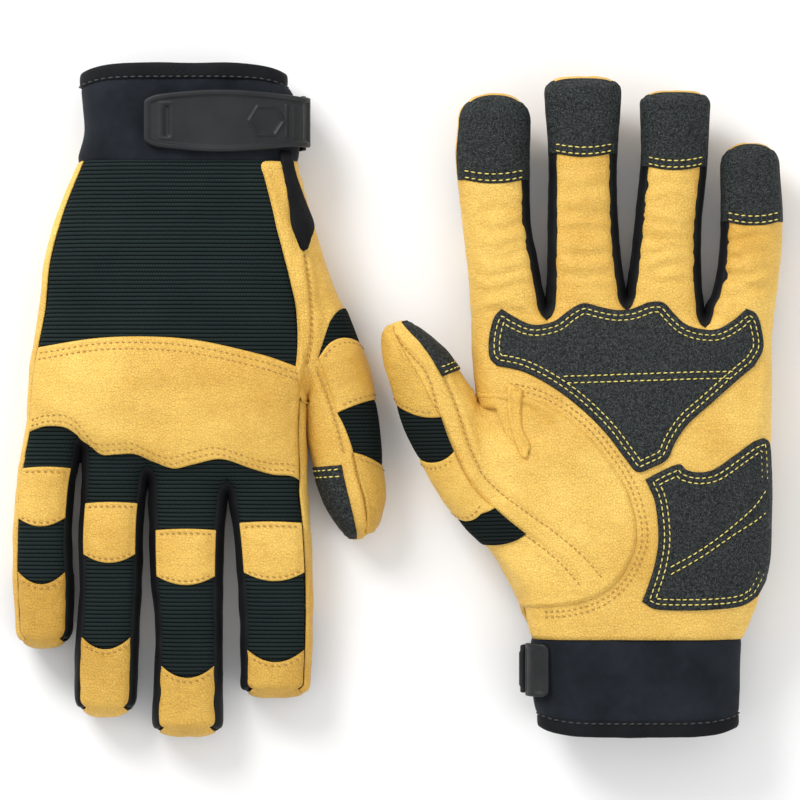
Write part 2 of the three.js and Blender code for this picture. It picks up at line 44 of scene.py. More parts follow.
# values a user may change: the shape that every sewn piece is cut from
shell = {
    "palmInset": 0.15,       # how far in from the outline the palm sheet ends, as a share of the half width
    "backInset": 0.06,
    "fingerInset": 0.2,
    "handPower": 3.0,        # exponents of the rounded sections
    "fingerPower": 2.4,
    "thumbPower": 2.2,
    "splitFrom": 0.87,       # along the hand, where its section starts to turn into four fingers
    "outlineFrom": 0.5,
    "backSlit": 0.055,
    "palmSlit": 0.055,
    "baseHeight": 12.2,      # half thickness of a finger at its root and near its tip
    "tipHeight": 9.6,
    "restDepth": 15.6,       # the side a glove lies on is pressed flat here
    "unevenness": 0.35,
}

# Values a user may change: each glove's own shape. Outlines are [y, x] pairs, the band's edges [x, y] pairs;
# height is half the thickness and middle the height of the section's middle, both along y. A finger has
# its two edges, its tip, the length and squareness of its round end, its pad's two ends, and where its tip
# leather and grip cap start. A thumb station is its outer and its inner point, its half height and its
# middle.
rightGlove = {
    "name": "right", "side": 1, "x": -79.9, "y": 92.95, "z": 17.55, "seed": 3,
    "thumbSide": [[0, -42], [30, -43], [60, -46], [85, -46.5], [108, -43.8], [130, -45.6]],
    "littleSide": [[0, 42.5], [20, 50.5], [40, 56], [60, 57.6], [90, 60.4], [110, 64.4], [130, 67.4]],
    "height": [[0, 13.9], [30, 16.5], [70, 17], [105, 15.5], [130, 13.5]],
    "middle": [[0, 0], [80, 0], [130, -4], [215, -5.5]],
    "fingers": [
        {"left": [[128, -45.4], [145, -46.7], [165, -47.5], [185, -47.3], [200, -46.6]],
         "right": [[131, -14.5], [140, -16.3], [160, -18.1], [180, -19.2], [200, -19.4]],
         "tip": 207.5, "cap": 7.5, "square": 3, "patch": [139, 159.5], "tipStart": 191, "capStart": 174},
        {"left": [[131, -14.5], [142, -13.4], [165, -12.7], [190, -12.6], [215, -12.8]],
         "right": [[125, 16.2], [137, 15.9], [160, 15.4], [180, 13.5], [200, 14], [215, 14.8]],
         "tip": 222.5, "cap": 7.5, "square": 3, "patch": [141.8, 161], "tipStart": 197, "capStart": 188},
        {"left": [[125, 16.2], [137, 17.8], [160, 18.5], [185, 19.7], [206, 20.6]],
         "right": [[113, 41.8], [125, 41.8], [145, 43.1], [165, 42.7], [190, 44.5], [206, 44.6]],
         "tip": 215, "cap": 9, "square": 2.4, "patch": [131.5, 152.5], "tipStart": 186, "capStart": 182},
        {"left": [[113, 41.8], [125, 44.2], [145, 45.6], [165, 44.9], [180, 45.4]],
         "right": [[100, 62.6], [115, 65.5], [135, 67.8], [160, 68.5], [180, 67.4]],
         "tip": 188.5, "cap": 9, "square": 2.3, "patch": [118, 138.5], "tipStart": 161, "capStart": 158}],
    "bandTop": [[-46, 82], [-35, 78], [-25, 75], [0, 70], [20, 68.3], [40, 68.8], [57, 72]],
    "bandBottom": [[-46, 127], [-40, 122], [-32, 121], [-24, 118.6], [-13, 115], [-3, 117], [4, 118.6],
                   [12, 115.5], [18, 113], [25, 113.2], [32, 113], [38, 107], [44, 103], [52, 102.5],
                   [57, 104], [62, 106]],
    "thumb": [[[-36.6, 14], [-39.5, 90], 11, 0], [[-46, 30], [-46, 88], 13, -1],
              [[-55, 48], [-45.5, 92], 13.5, -2], [[-63, 66], [-45, 97], 13, -3],
              [[-68.5, 84], [-45, 102], 12.4, -4], [[-72.3, 102], [-45.5, 109], 12, -5],
              [[-73.4, 120], [-48.8, 121.5], 11.5, -5.5], [[-74, 131], [-53, 133], 10.5, -6],
              [[-71, 141], [-59, 142.5], 7.5, -6.5], [[-66.5, 146], [-63, 146.5], 2, -7]],
    "thumbRoot": 2.3, "capFrom": 5.75, "capTurns": [-77, 83],
    "cuffLeft": [[-33.5, -36], [-29, -37.5], [-20, -42], [-10, -43], [0, -42]],
    "cuffRight": [[-33.5, 40.5], [-29, 41.6], [-20, 40.8], [-10, 40.6], [0, 42.5]],
    "tabY": [-26, -2.2], "tabEnd": 16.6,
}

leftGlove = {
    "name": "left", "side": -1, "x": 92.6, "y": -92.05, "z": 17.55, "seed": 8,
    "thumbSide": [[0, -41], [35, -48], [62, -54], [92, -59.5], [112, -62], [130, -64.7]],
    "littleSide": [[0, 40], [15, 46], [31, 49.7], [60, 50.5], [92, 51.2], [112, 51.4], [130, 53.5]],
    "height": [[0, 13.9], [30, 16.5], [70, 17], [105, 15.5], [130, 13.5]],
    "middle": [[0, 0], [80, 0], [130, 3.5], [215, -2]],
    "fingers": [
        {"left": [[124, -64], [145, -65.6], [165, -68.1], [185, -70.2], [198, -69.3]],
         "right": [[131, -35.4], [142, -37.6], [160, -41], [180, -41.6], [198, -41.2]],
         "tip": 210.5, "cap": 12, "square": 2.3, "patch": [139, 159.5], "tipStart": 191, "capStart": 175.4},
        {"left": [[131, -35.4], [142, -34.9], [165, -34.6], [190, -34.6], [208, -36.1]],
         "right": [[135, -4.4], [145, -6.1], [165, -7.7], [185, -8], [208, -6.4]],
         "tip": 217, "cap": 7.5, "square": 3, "patch": [146, 166], "tipStart": 195, "capStart": 185.5},
        {"left": [[135, -4.4], [145, -2.8], [165, -0.8], [185, 1.2], [203, 0.8]],
         "right": [[128, 25.8], [140, 24.6], [160, 24.6], [180, 26.5], [203, 27.7]],
         "tip": 211.5, "cap": 7, "square": 3.2, "patch": [143, 163], "tipStart": 190, "capStart": 180.5},
        {"left": [[128, 25.8], [135, 29.3], [150, 31.6], [165, 32], [180, 31.7]],
         "right": [[116, 51.6], [130, 53.3], [146, 55.1], [162, 55.8], [180, 54.6]],
         "tip": 191.5, "cap": 10, "square": 2.4, "patch": [131, 150], "tipStart": 170, "capStart": 159.3}],
    "bandTop": [[-62, 82], [-40, 78], [-12, 73], [15, 71], [51, 74]],
    "bandBottom": [[-62, 124], [-49, 122], [-34, 117.5], [-19, 124], [-4, 120.5], [11, 121.5], [25, 114],
                   [50, 112]],
    "thumb": [[[-37.8, 14], [-51.5, 90], 11, 0], [[-51, 30], [-59.5, 91.5], 13, 0],
              [[-66, 44], [-61.5, 92], 13.5, -1], [[-78, 62], [-62, 92.5], 13, -2],
              [[-89, 81], [-63.5, 96], 12.4, -3], [[-93, 96], [-69.5, 105], 11.8, -4],
              [[-96.5, 108], [-77, 113.5], 10.5, -5], [[-97, 117], [-86, 120.5], 7, -5.5],
              [[-94.5, 122], [-90.5, 123], 2, -6]],
    "thumbRoot": 1.6, "capFrom": 4.9, "capTurns": [-65, 85],
    "cuffLeft": [[-33.5, -36], [-29, -38.5], [-20, -40.5], [-10, -41.5], [0, -41]],
    "cuffRight": [[-33.5, 36], [-29, 38.5], [-20, 39.4], [-10, 39.4], [0, 40]],
    "tabY": [-22.5, 0.5], "tabEnd": 16.6,
}


def mix(a, b, t):
    return a + (b - a) * t


def easeInOut(t):
    # 3 t squared less 2 t cubed, held between 0 and 1
    t = np.clip(t, 0, 1)
    return t * t * (3 - 2 * t)


def dome(share, power):
    # (1 - share^n)^(1/n), the height of a rounded section at a share of its half width
    return np.maximum(1 - np.clip(np.abs(share), 0, 1) ** power, 0) ** (1 / power)


def smoothCurve(pairs):
    # a cubic through every knot, its slope at a knot being that of the line between the knot's neighbours,
    # and carried on straight past both ends
    pairs = np.array(pairs, float)
    knots, values = pairs[:, 0], pairs[:, 1:]
    order = np.arange(len(knots))
    low, high = np.maximum(order - 1, 0), np.minimum(order + 1, len(knots) - 1)
    slopes = (values[high] - values[low]) / (knots[high] - knots[low])[:, None]

    def at(x):
        x = np.asarray(x, float)
        k = np.clip(np.searchsorted(knots, x, side="right") - 1, 0, len(knots) - 2)
        step = (knots[k + 1] - knots[k])[..., None]
        t = (x - knots[k])[..., None] / step
        c = np.clip(t, 0, 1)
        value = (values[k] * (2 * c**3 - 3 * c**2 + 1) + slopes[k] * step * (c**3 - 2 * c**2 + c)
                 + values[k + 1] * (3 * c**2 - 2 * c**3) + slopes[k + 1] * step * (c**3 - c**2))
        value = value + (t - c) * step * np.where(t < 0, slopes[k], slopes[k + 1])
        return value[..., 0] if values.shape[1] == 1 else value
    return at


def smoothPath(points):
    # the same cubic with its knots evenly spaced from 0 to 1
    points = np.array(points, float)
    return smoothCurve(np.column_stack([np.linspace(0, 1, len(points)), points]))


def ripple(points, seed, wavelength, count=7):
    # a sum of sine waves in random directions, each of about the given wavelength, scaled to about -1..1
    random = np.random.default_rng(seed)
    directions = random.normal(size=(count, points.shape[-1]))
    directions /= np.linalg.norm(directions, axis=1)[:, None]
    waves = 2 * math.pi / (wavelength * random.uniform(0.6, 1.6, count))
    phases = random.uniform(0, 2 * math.pi, count)
    return np.sin(points @ (directions * waves[:, None]).T + phases).sum(-1) / math.sqrt(count)


for glove in (rightGlove, leftGlove):
    for key in ("thumbSide", "littleSide", "height", "middle", "bandTop", "bandBottom", "cuffLeft",
                "cuffRight"):
        glove[key + "At"] = smoothCurve(glove[key])
    for finger in glove["fingers"]:
        finger["leftAt"] = smoothCurve(finger["left"])
        finger["rightAt"] = smoothCurve(finger["right"])
        finger["capFrom"] = finger["tip"] - finger["cap"]
    stations = np.arange(len(glove["thumb"]))
    glove["thumbAt"] = smoothCurve([[k, *t[0], *t[1], t[2], t[3]] for k, t in zip(stations, glove["thumb"])])


def fingerBase(finger, across):
    return mix(finger["left"][0][0], finger["right"][0][0], (across + 1) / 2)


def alongAt(glove, band, across, y):
    # 0..1 from the wrist to the crotch line, 1..2 from there to where the finger's end starts to round
    finger = glove["fingers"][band]
    base = fingerBase(finger, across)
    return np.where(y <= base, y / base, 1 + (y - base) / (finger["capFrom"] - base))


def surface(glove, band, across, along, side):
    # the glove's outside: side 1 is the back sheet, -1 the palm sheet, and between them it runs down the wall
    across, along, side = np.broadcast_arrays(*(np.asarray(v, float) for v in (across, along, side)))
    finger = glove["fingers"][band]
    inset = side * side
    slit = np.where(side > 0, shell["backSlit"], shell["palmSlit"]) * np.sqrt(inset)
    handInset = np.where(side > 0, shell["backInset"], shell["palmInset"]) * inset
    reach = 1 - shell["fingerInset"] * inset
    base = fingerBase(finger, across)

    def onFinger(y):
        left, right = finger["leftAt"](y), finger["rightAt"](y)
        return (left + right) / 2 + across * reach * (right - left) / 2

    # the hand: the outline's half width times u, drawn over to the fingers' edges, and opened at the slits
    u = -1 + (band + (across + 1) / 2) / 2
    yHand = base * np.clip(along, 0, 1)
    left, right = glove["thumbSideAt"](yHand), glove["littleSideAt"](yHand)
    onHand = (left + right) / 2 + (1 - handInset) * u * (right - left) / 2

    def closedEdge(sign):
        y, x = finger["left"][0] if sign < 0 else finger["right"][0]
        outer = (band == 0 and sign < 0) or (band == 3 and sign > 0)
        half = (finger["rightAt"](y) - finger["leftAt"](y)) / 2
        return x - sign * (1 - reach) * half if outer else np.full_like(reach, x)
    closed = mix(closedEdge(-1), closedEdge(1), (across + 1) / 2)
    opening = np.clip((along - 1 + slit) / np.maximum(slit, 1e-9), 0, 1)
    opening = np.where(slit > 1e-9, np.sqrt(opening * (2 - opening)), 0)
    toFinger = easeInOut((along - shell["outlineFrom"]) / (1 - shell["outlineFrom"]))
    xHand = mix(onHand, closed, toFinger) + (onFinger(base) - closed) * opening

    # the finger, and its rounded end: the square of across and the step past the end, pressed into a disc
    yFinger = mix(base, finger["capFrom"], np.clip(along - 1, 0, 1))
    b = np.clip(along - 2, 0, 1)
    capFrom = finger["capFrom"]
    capLeft, capRight = finger["leftAt"](capFrom), finger["rightAt"](capFrom)
    half, centre = (capRight - capLeft) / 2, (capRight + capLeft) / 2
    discX, discY = across * np.sqrt(1 - b * b / 2), b * np.sqrt(1 - across * across / 2)
    disc = np.hypot(discX, discY)
    power = finger["square"]
    squared = (np.abs(discX) ** power + discY**power) ** (1 / power)
    push = np.where(squared > 1e-9, disc / np.maximum(squared, 1e-9), 1)
    xCap = centre + discX * push * reach * half
    yCap = capFrom + discY * push * (finger["cap"] - (1 - reach) * half)

    x = np.where(along < 1, xHand, np.where(along < 2, onFinger(yFinger), xCap))
    y = np.where(along < 1, yHand, np.where(along < 2, yFinger, yCap))
    share = reach * np.where(along < 2, np.abs(across), disc)
    height = mix(shell["baseHeight"], shell["tipHeight"], np.clip(along - 1, 0, 1))
    height = height * dome(share, shell["fingerPower"])
    handHeight = glove["heightAt"](y) * dome((1 - handInset) * u, shell["handPower"])
    split = easeInOut((along - shell["splitFrom"]) / (1 - shell["splitFrom"]))
    height = np.where(along < 1, mix(handHeight, height, split), height)
    sign = np.sign(side)
    z = glove["middleAt"](y) + sign * height
    plan = np.stack([x, y, 0 * x], -1)
    z = z + sign * shell["unevenness"] * ripple(plan, glove["seed"], 34) * np.clip(height / 6, 0, 1)
    rest = shell["restDepth"]
    z = np.minimum(z, rest) if glove["side"] < 0 else np.maximum(z, -rest)
    return np.stack([x, y, z], -1)


def place(glove, w, y, side):
    # the surface at w and y: w runs over the four bands from -1 to 1, and on to -2 or 2 down the outer walls
    u, sides = np.clip(w, -1, 1), side * np.clip(2 - np.abs(w), 0, 1)
    band = np.clip(np.floor((u + 1) * 2), 0, 3).astype(int)
    across = ((u + 1) * 2 - band) * 2 - 1
    out = np.zeros(u.shape + (3,))
    for k in range(4):
        mask = band == k
        if mask.any():
            a = across[mask]
            out[mask] = surface(glove, k, a, alongAt(glove, k, a, y[mask]), sides[mask])
    return out


def locate(glove, x, y, side):
    # the w of a plan position, by halving its span until the surface's x agrees
    x, y = np.broadcast_arrays(np.asarray(x, float), np.asarray(y, float))
    low, high = np.full(x.shape, -2.0), np.full(x.shape, 2.0)
    for _ in range(24):
        w = (low + high) / 2
        here = place(glove, w, y, side)[..., 0]
        low, high = np.where(here < x, w, low), np.where(here < x, high, w)
    return (low + high) / 2


def onPlan(glove, x, y, side):
    x, y = np.broadcast_arrays(np.asarray(x, float), np.asarray(y, float))
    return place(glove, locate(glove, x, y, side), y, side)


def planNormal(glove, x, y, side, step=0.8):
    # across the surface's two slopes
    dx = onPlan(glove, x + step, y, side) - onPlan(glove, x - step, y, side)
    dy = onPlan(glove, x, y + step, side) - onPlan(glove, x, y - step, side)
    normal = np.cross(dx, dy) * side
    return normal / np.maximum(np.linalg.norm(normal, axis=-1, keepdims=True), 1e-9)


def toWorld(glove, points):
    # the right glove turned half round to point towards -Y, the left one turned over to lie palm up
    p = np.asarray(points, float)
    if glove["side"] > 0:
        out = np.stack([glove["x"] - p[..., 0], glove["y"] - p[..., 1], glove["z"] + p[..., 2]], -1)
    else:
        out = np.stack([glove["x"] + p[..., 0], glove["y"] + p[..., 1], glove["z"] - p[..., 2]], -1)
    return out * mm


def closeSteps(count, edge=0.05, rows=5):
    # 0..1 with extra steps close to both ends, for rolled edges
    ends = edge * (np.linspace(0, 1, rows + 1)[:-1] ** 1.4)
    return np.concatenate([ends, np.linspace(edge, 1 - edge, count), 1 - ends[::-1]])


def edgeDistance(points, edges):
    # the shortest way to any of the edges
    a, d = points[edges[:, 0]], points[edges[:, 1]] - points[edges[:, 0]]
    lengths = np.maximum((d * d).sum(1), 1e-12)
    out = np.empty(len(points))
    for start in range(0, len(points), 512):
        p = points[start:start + 512, None]
        t = np.clip(((p - a) * d).sum(-1) / lengths, 0, 1)
        out[start:start + 512] = np.sqrt(((p - a - t[..., None] * d) ** 2).sum(-1)).min(1)
    return out


def makeObject(name, vertices, faces, uvs, material, body, replaced=()):
    mesh = bpy.data.meshes.new(name)
    mesh.from_pydata(vertices.tolist(), [], faces)
    mesh.polygons.foreach_set("use_smooth", np.ones(len(mesh.polygons), bool))
    if uvs is not None:
        layer = mesh.uv_layers.new(name="flat")
        index = np.empty(len(mesh.loops), np.int64)
        mesh.loops.foreach_get("vertex_index", index)
        layer.data.foreach_set("uv", uvs[index].ravel())
    mesh.validate()
    mesh.update()
    piece = bpy.data.objects.new(name, mesh)
    bpy.context.collection.objects.link(piece)
    mesh.materials.append(material)
    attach(piece, body)
    if replaced:
        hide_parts(*replaced)
    return piece


def sewnPiece(glove, name, grids, profile, inner, material, part="glove", replaced=None, uvs=None):
    # a closed shell from nets of (rows, columns, 3) points that share edges: its outside lies at
    # profile(point, distance to the piece's edge) from the net, its inside at inner
    points, quads, flat, base = [], [], [], 0
    for k, grid in enumerate(grids):
        rows, columns = grid.shape[:2]
        index = np.arange(rows * columns).reshape(rows, columns) + base
        cells = np.stack([index[:-1, :-1], index[:-1, 1:], index[1:, 1:], index[1:, :-1]], -1)
        quads.append(cells.reshape(-1, 4))
        points.append(grid.reshape(-1, 3))
        flat.append((grid if uvs is None else uvs[k])[..., :2].reshape(-1, 2))
        base += rows * columns
    points, quads, flat = np.concatenate(points), np.concatenate(quads), np.concatenate(flat)
    if glove["side"] < 0:
        quads = quads[:, ::-1]
    # join points that lie on each other
    keys = np.round(points * 40 + 0.137).astype(np.int64)
    _, first, inverse = np.unique(keys, axis=0, return_index=True, return_inverse=True)
    points, flat, quads = points[first], flat[first], inverse.reshape(-1)[quads]
    world = toWorld(glove, points) / mm
    normals = np.zeros_like(world)
    cross = np.cross(world[quads[:, 2]] - world[quads[:, 0]], world[quads[:, 3]] - world[quads[:, 1]])
    for corner in range(4):
        np.add.at(normals, quads[:, corner], cross)
    normals /= np.maximum(np.linalg.norm(normals, axis=1, keepdims=True), 1e-12)
    # edges used once, kept in their face's direction
    sides = np.concatenate([quads[:, [k, (k + 1) % 4]] for k in range(4)])
    sides = sides[sides[:, 0] != sides[:, 1]]
    code = sides[:, 0] * len(world) + sides[:, 1]
    back = sides[:, 1] * len(world) + sides[:, 0]
    rim = sides[~np.isin(code, back)]
    distance = edgeDistance(world, rim) if len(rim) else np.full(len(world), 99.0)
    outer = profile(points, distance)
    top = world + normals * outer[:, None]
    bottom = world + normals * inner
    count = len(world)
    faces = np.concatenate([quads, quads[:, ::-1] + count,
                            np.stack([rim[:, 0], rim[:, 0] + count, rim[:, 1] + count, rim[:, 1]], -1)])
    # a quad with two corners in one place becomes a triangle
    same = (faces == np.roll(faces, 1, axis=1)).any(1)
    faceList = faces[~same].tolist()
    for face in faces[same].tolist():
        kept = list(dict.fromkeys(face))
        if len(kept) > 2:
            faceList.append(kept)
    vertices = np.concatenate([top, bottom]) * mm
    handed = glove["name"] + "_"
    nodes = [handed + n for n in ([name] if replaced is None else replaced)]
    return makeObject(handed + name, vertices, faceList, np.concatenate([flat, flat]) / 10, material,
                      handed + part, nodes)


def rolled(distance, thickness, radius):
    # a quarter circle of the given radius at the edge, level further in
    t = 1 - np.clip(distance / radius, 0, 1)
    return thickness - radius * (1 - np.sqrt(np.maximum(1 - t * t, 0)))


def threadDip(distance, insets, depth=0.22, width=0.7):
    # the leather drawn in under each row of stitches
    return -sum(depth * np.exp(-((distance - inset) / width) ** 2) for inset in insets)


def panelProfile(glove, thickness=1.1, radius=0.8, puff=0.0, insets=(), rough=0.12, wavelength=9):
    # a panel lying on another: a rolled edge, a puffed middle, a dip at each row of stitches, and some waves
    def profile(points, distance):
        waves = rough * ripple(points, glove["seed"] + 40, wavelength) * np.clip(distance / 3, 0, 1)
        puffed = puff * (1 - np.exp(-distance / 6))
        return rolled(distance, thickness, radius) + puffed + threadDip(distance, insets) + waves
    return profile


def sheetProfile(glove, sink=0.55, rough=0.14, wavelength=11, creases=None):
    # a sheet of the glove itself: drawn in at its seams, and wavy
    def profile(points, distance):
        waves = rough * ripple(points, glove["seed"] + 17, wavelength)
        out = waves - sink * np.exp(-((distance / 1.3) ** 2))
        return out + (creases(points) if creases else 0)
    return profile


class Nodes:
    # a short way to write a material's nodes; every material reads object or flat coordinates
    def __init__(self, name):
        self.material = bpy.data.materials.new(name)
        self.material.use_nodes = True
        self.tree = self.material.node_tree
        self.shader = next(n for n in self.tree.nodes if n.type == "BSDF_PRINCIPLED")
        self.coordinates = self.tree.nodes.new("ShaderNodeTexCoord")

    def add(self, kind, inputs=None, **settings):
        node = self.tree.nodes.new(kind)
        for key, value in settings.items():
            setattr(node, key, value)
        for key, value in (inputs or {}).items():
            self.put(node.inputs[key], value)
        return node

    def put(self, socket, value):
        if isinstance(value, bpy.types.NodeSocket):
            self.tree.links.new(value, socket)
        else:
            socket.default_value = value

    def math(self, operation, a, b=0.0, c=0.0):
        return self.add("ShaderNodeMath", {0: a, 1: b, 2: c}, operation=operation).outputs[0]

    def noise(self, scale, detail=3.0, roughness=0.5, vector=None):
        node = self.add("ShaderNodeTexNoise", {"Scale": scale, "Detail": detail, "Roughness": roughness,
                                               "Vector": vector or self.coordinates.outputs["Object"]})
        return node.outputs[0]

    def cells(self, scale, feature="F1", vector=None):
        inputs = {"Scale": scale, "Vector": vector or self.coordinates.outputs["Object"]}
        return self.add("ShaderNodeTexVoronoi", inputs, feature=feature).outputs["Distance"]

    def ramp(self, factor, stops):
        node = self.add("ShaderNodeValToRGB", {0: factor})
        ramp = node.color_ramp
        while len(ramp.elements) < len(stops):
            ramp.elements.new(0.5)
        for element, (position, colour) in zip(ramp.elements, stops):
            element.position = position
            element.color = (*colour, 1) if len(colour) == 3 else colour
        return node.outputs[0]

    def blend(self, factor, a, b, mode="MIX"):
        node = self.add("ShaderNodeMix", data_type="RGBA", blend_type=mode)
        for socket, value in zip((node.inputs[0], node.inputs[6], node.inputs[7]), (factor, a, b)):
            self.put(socket, (*value, 1) if isinstance(value, tuple) and len(value) == 3 else value)
        return node.outputs[2]

    def bump(self, height, distance, strength=1.0, normal=None):
        inputs = {"Height": height, "Distance": distance, "Strength": strength}
        if normal is not None:
            inputs["Normal"] = normal
        return self.add("ShaderNodeBump", inputs).outputs[0]

    def finish(self, colour, roughness, normal, **values):
        self.put(self.shader.inputs["Base Color"], colour)
        self.put(self.shader.inputs["Roughness"], roughness)
        self.put(self.shader.inputs["Normal"], normal)
        for key, value in values.items():
            self.shader.inputs[key.replace("_", " ")].default_value = value
        return self.material


def leatherMaterial(name, dark, light, grain=1.0):
    # tan leather: blotches, a fine cell grain, and wandering wrinkles
    n = Nodes(name)
    blotch = n.noise(22, 3, 0.55)
    fine = n.noise(420, 4, 0.7)
    grainEdge = n.math("MINIMUM", n.cells(900, "DISTANCE_TO_EDGE"), 0.14)
    tone = n.math("ADD", n.math("MULTIPLY", blotch, 0.78), n.math("MULTIPLY", fine, 0.22))
    colour = n.ramp(tone, [(0.34, dark), (0.62, light)])
    # the valleys between the grains are painted darker, as painted shade in the grain's hollows, and patches
    # here and there are worn paler
    colour = n.blend(n.math("MULTIPLY_ADD", grainEdge, -2.2, 0.31), colour, tuple(0.55 * v for v in dark))
    worn = n.ramp(n.noise(65, 5, 0.7), [(0.56, (0, 0, 0)), (0.75, (1, 1, 1))])
    colour = n.blend(n.math("MULTIPLY", worn, 0.22), colour, tuple(min(1, 1.12 * v + 0.02) for v in light))
    height = n.math("ADD", n.math("MULTIPLY", grainEdge, 4.0), n.math("MULTIPLY", n.noise(1100, 4, 0.6), 0.7))
    fineNormal = n.bump(height, 0.00022 * grain, 0.9)
    # short wandering wrinkles: the middle value of a noise, stretched across the hand
    stretched = n.add("ShaderNodeMapping", {0: n.coordinates.outputs["Object"], 3: (150, 330, 200)})
    stretched = stretched.outputs[0]
    creases = n.math("ABSOLUTE", n.math("SUBTRACT", n.noise(1, 4, 0.65, stretched), 0.5))
    height = n.math("ADD", n.math("MINIMUM", n.math("MULTIPLY", creases, 9.0), 0.6), n.noise(240, 3, 0.6))
    normal = n.bump(height, 0.00024 * grain, 0.75, fineNormal)
    roughness = n.ramp(n.noise(210, 3, 0.5), [(0.3, (0.46,) * 3), (0.7, (0.62,) * 3)])
    return n.finish(colour, roughness, normal, Specular_IOR_Level=0.42)


def knitMaterial(name, dark, light, pitch, columns, depth=0.0008):
    # ribs across the hand: half a sine wave along the flat v, cut by a finer one along u
    n = Nodes(name)
    flat = n.add("ShaderNodeSeparateXYZ", {0: n.coordinates.outputs["UV"]})
    wobble = n.math("MULTIPLY", n.math("SUBTRACT", n.noise(120, 2), 0.5), 0.35)
    v = n.math("ADD", n.math("MULTIPLY", flat.outputs[1], math.pi * 10 / pitch), wobble)
    rib = n.math("ABSOLUTE", n.math("SINE", v))
    u = n.math("MULTIPLY", flat.outputs[0], math.pi * 10 / columns)
    # the loops are shifted by half a loop from each rib to the next
    shift = n.math("MULTIPLY", n.math("FLOOR", n.math("DIVIDE", v, math.pi)), 1.57)
    loop = n.math("ABSOLUTE", n.math("SINE", n.math("ADD", u, shift)))
    height = n.math("ADD", n.math("POWER", rib, 0.6), n.math("MULTIPLY", loop, 0.28))
    height = n.math("ADD", height, n.math("MULTIPLY", n.noise(2600, 2), 0.25))
    # the colour follows the rib height: a painted highlight on the rib tops and painted shade in the grooves
    colour = n.ramp(height, [(0.62, dark), (1.2, light)])
    colour = n.blend(n.math("MULTIPLY", n.noise(40, 3), 0.4), colour, dark)
    normal = n.bump(height, depth, 0.9)
    return n.finish(colour, 0.9, normal, Sheen_Weight=0.0, Sheen_Roughness=0.45, Specular_IOR_Level=0.05)


def gripMaterial(name):
    # a pebbled black fabric, with pale dots painted in some of its cells as painted glints
    n = Nodes(name)
    pebble = n.cells(1300)
    grit = n.noise(1900, 4, 0.75)
    few = n.math("GREATER_THAN", n.noise(900, 1), 0.52)
    # painted glints: small pale dots in a scattered share of the cells
    paintedGlint = n.math("MULTIPLY", n.math("LESS_THAN", n.cells(1900), 0.2), few)
    colour = n.ramp(n.noise(1250, 3, 0.85), [(0.42, (0.003, 0.004, 0.005)), (0.7, (0.052, 0.062, 0.06))])
    colour = n.blend(n.math("MULTIPLY", paintedGlint, 0.6), colour, (0.26, 0.29, 0.28))
    height = n.math("ADD", pebble, n.math("MULTIPLY", grit, 1.3))
    roughness = n.ramp(n.noise(700, 2), [(0.35, (0.42,) * 3), (0.65, (0.8,) * 3)])
    return n.finish(colour, roughness, n.bump(height, 0.00026, 1.0), Specular_IOR_Level=0.22)


def fabricMaterial(name, dark, light, pitch, depth, roughness=0.85, sheen=0.3):
    # a plain weave: two crossed sine waves in flat coordinates
    n = Nodes(name)
    flat = n.add("ShaderNodeSeparateXYZ", {0: n.coordinates.outputs["UV"]})
    across = n.math("SINE", n.math("MULTIPLY", flat.outputs[0], 2 * math.pi * 10 / pitch))
    along = n.math("SINE", n.math("MULTIPLY", flat.outputs[1], 2 * math.pi * 10 / pitch))
    weave = n.math("MULTIPLY", across, along)
    height = n.math("ADD", n.math("MULTIPLY", weave, 0.5), n.noise(1500, 4, 0.7))
    tone = n.math("ADD", n.noise(60, 4, 0.6), n.math("MULTIPLY", weave, 0.12))
    colour = n.ramp(tone, [(0.3, dark), (0.75, light)])
    return n.finish(colour, roughness, n.bump(height, depth, 0.9), Sheen_Weight=sheen, Sheen_Roughness=0.5,
                    Specular_IOR_Level=0.15)


def rubberMaterial(name, dark, light):
    # satin rubber with a faint moulded grain
    n = Nodes(name)
    colour = n.ramp(n.noise(45, 4, 0.6), [(0.3, dark), (0.7, light)])
    height = n.math("ADD", n.noise(1800, 3, 0.6), n.math("MULTIPLY", n.noise(300, 2), 0.6))
    roughness = n.ramp(n.noise(120, 3), [(0.3, (0.42,) * 3), (0.7, (0.56,) * 3)])
    return n.finish(colour, roughness, n.bump(height, 0.00006, 0.8), Specular_IOR_Level=0.28)


def threadMaterial(name, dark, light):
    # plied thread: slanted bands along each stitch, whose length runs along u
    n = Nodes(name)
    flat = n.add("ShaderNodeSeparateXYZ", {0: n.coordinates.outputs["UV"]})
    around = n.math("MULTIPLY", flat.outputs[1], 6.28)
    twist = n.math("SINE", n.math("ADD", n.math("MULTIPLY", flat.outputs[0], 34.0), around))
    tone = n.math("ADD", n.math("MULTIPLY", twist, 0.2), n.noise(500, 2))
    colour = n.ramp(tone, [(0.25, dark), (0.7, light)])
    return n.finish(colour, 0.55, n.bump(twist, 0.00007, 0.8), Specular_IOR_Level=0.4, Sheen_Weight=0.15)


